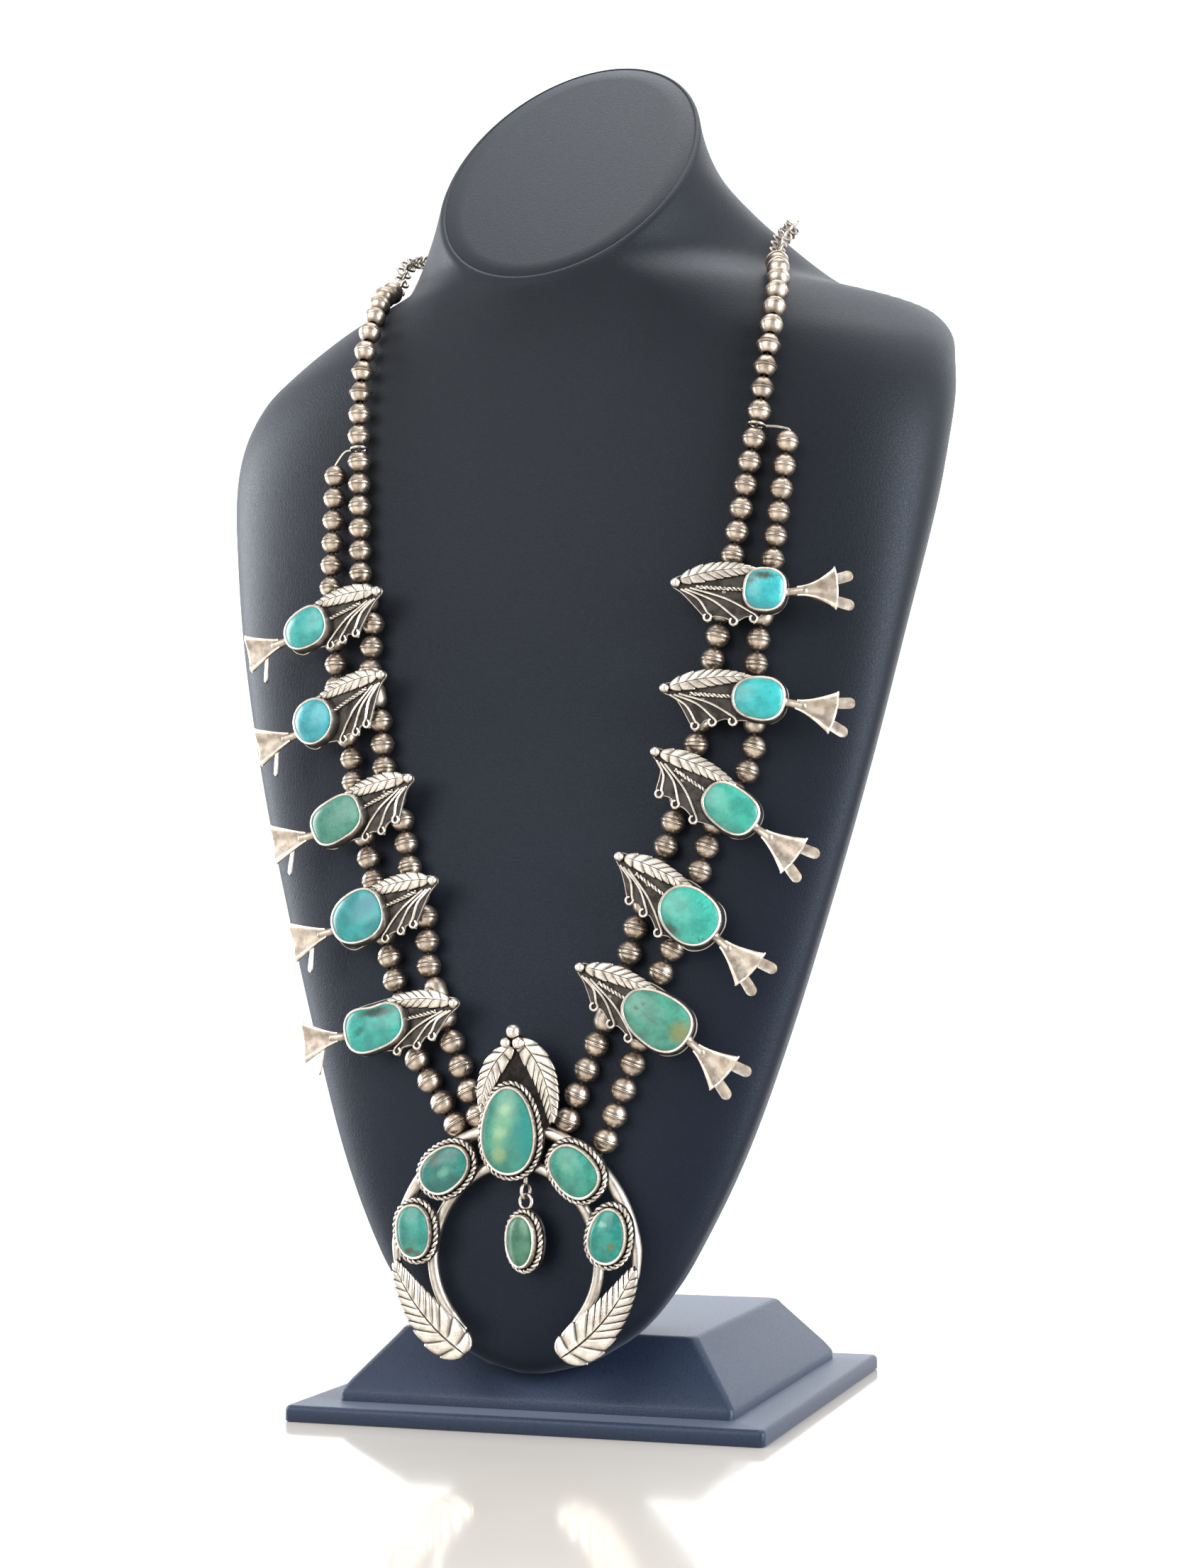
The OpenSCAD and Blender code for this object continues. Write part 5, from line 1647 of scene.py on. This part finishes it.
make_base()
make_bust()
make_neck_beads()
for strand_name, beads in strands.items():
    make_strand(strand_name, beads)
make_back_chain()
make_ties()
for number in range(len(blossoms)):
    make_blossom(number)
make_naja()
make_drop()

# The CAD's own inner cords and hook stay, each in its finish.
for node_name, stuff in (
    ("thread_left", cord_wax), ("thread_right", cord_wax), ("clasp_hook", chain_silver),
):
    kept_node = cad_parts[node_name]
    kept_node.data.materials.clear()
    kept_node.data.materials.append(stuff)
    kept_node.data.polygons.foreach_set("use_smooth", [True] * len(kept_node.data.polygons))


# Stage, lights and camera

def make_stage():
    """White gloss laminate that sweeps up behind the object."""
    made, tree, shader = fresh("white_gloss_laminate", 0.1, IOR=1.9)
    dust = grains(tree, 60.0, 3.0)
    where = put(tree, "ShaderNodeTexCoord")
    depth = put(tree, "ShaderNodeSeparateXYZ", links={"Vector": where.outputs["Object"]})
    # the board's front is a shade greyer than the paper it runs into
    paper = ramped(tree, depth.outputs["Y"], 0.15, 0.9)
    board = blend_of(tree, dust, paint("#beb8b1"), paint("#c3bdb6"))
    dress(
        tree, shader, blend_of(tree, paper, board, paint("#f2f1ef")),
        ramped(tree, dust, 0.3, 0.7, 0.08, 0.13),
    )
    bend_from = 1100
    bend = 700
    half_wide = 3600
    line = [(-4000, 0), (bend_from, 0)]
    for a in np.linspace(0.1, 1.5, 18):
        line.append((bend_from + bend * math.sin(a), bend - bend * math.cos(a)))
    line.append((bend_from + bend, 3600))
    rows = [[(x, y, z) for x in (-half_wide, 0, half_wide)] for y, z in line]
    points, faces = woven(rows, closed=False)
    mesh = bpy.data.meshes.new("sweep")
    mesh.from_pydata((points * MM).tolist(), [], faces)
    mesh.materials.append(made)
    mesh.polygons.foreach_set("use_smooth", [True] * len(faces))
    sweep = bpy.data.objects.new("sweep", mesh)
    bpy.context.scene.collection.objects.link(sweep)


def softbox(name, place, side, watts, colour):
    """A square soft light aimed at the middle of the bust. Places are in metres."""
    aim_at = (0.0, -0.03, 0.2)
    data = bpy.data.lights.new(name, "AREA")
    data.shape = "RECTANGLE"
    data.size = side
    data.size_y = side
    data.energy = watts
    data.color = colour
    made = bpy.data.objects.new(name, data)
    z = unit(np.array(place) - np.array(aim_at))
    x = unit(np.cross((0.0, 0.0, 1.0), z))
    m = axes(x, np.cross(z, x), z, place)
    made.matrix_world = Matrix(m.tolist())
    bpy.context.scene.collection.objects.link(made)


def make_lights():
    daylight = (0.91, 0.96, 1.0)
    softbox("key", (-0.75, -1.9, 1.1), side=1.9, watts=46, colour=(1.0, 0.985, 0.96))
    softbox("side", (1.9, -0.45, 0.62), side=1.2, watts=72, colour=daylight)
    softbox("left", (-2.0, 0.1, 0.62), side=1.2, watts=54, colour=daylight)
    softbox("top", (0.1, 0.3, 2.0), side=1.6, watts=24, colour=(1.0, 1.0, 1.0))
    world = bpy.data.worlds.new("studio")
    bpy.context.scene.world = world
    world.use_nodes = True
    room = world.node_tree.nodes["Background"]
    room.inputs["Color"].default_value = paint("#f4f6f8")
    room.inputs["Strength"].default_value = 0.7


def make_camera():
    """The photograph's own standpoint: right of the front, a little low, looking up."""
    bearing = math.radians(19.1)
    rise = math.radians(-5.38)
    roll = math.radians(-0.47)
    ahead = np.array((math.sin(bearing), -math.cos(bearing), 0)) * math.cos(rise)
    back = ahead + (0, 0, math.sin(rise))
    right = np.array((math.cos(bearing), math.sin(bearing), 0))
    up = np.cross(back, right)
    x = math.cos(roll) * right + math.sin(roll) * up
    y = -math.sin(roll) * right + math.cos(roll) * up
    data = bpy.data.cameras.new("camera")
    data.sensor_fit = "VERTICAL"
    data.sensor_height = 36
    image_height = 2212
    focal_pixels = 3300
    data.lens = focal_pixels * data.sensor_height / image_height
    data.clip_start = 0.01
    made = bpy.data.objects.new("camera", data)
    stand = np.array((228.2, -664.2, 114.1)) * MM
    made.matrix_world = Matrix(axes(x, y, back, stand).tolist())
    bpy.context.scene.collection.objects.link(made)
    bpy.context.scene.camera = made


make_stage()
make_lights()
make_camera()
bpy.context.scene.view_settings.view_transform = "Standard"
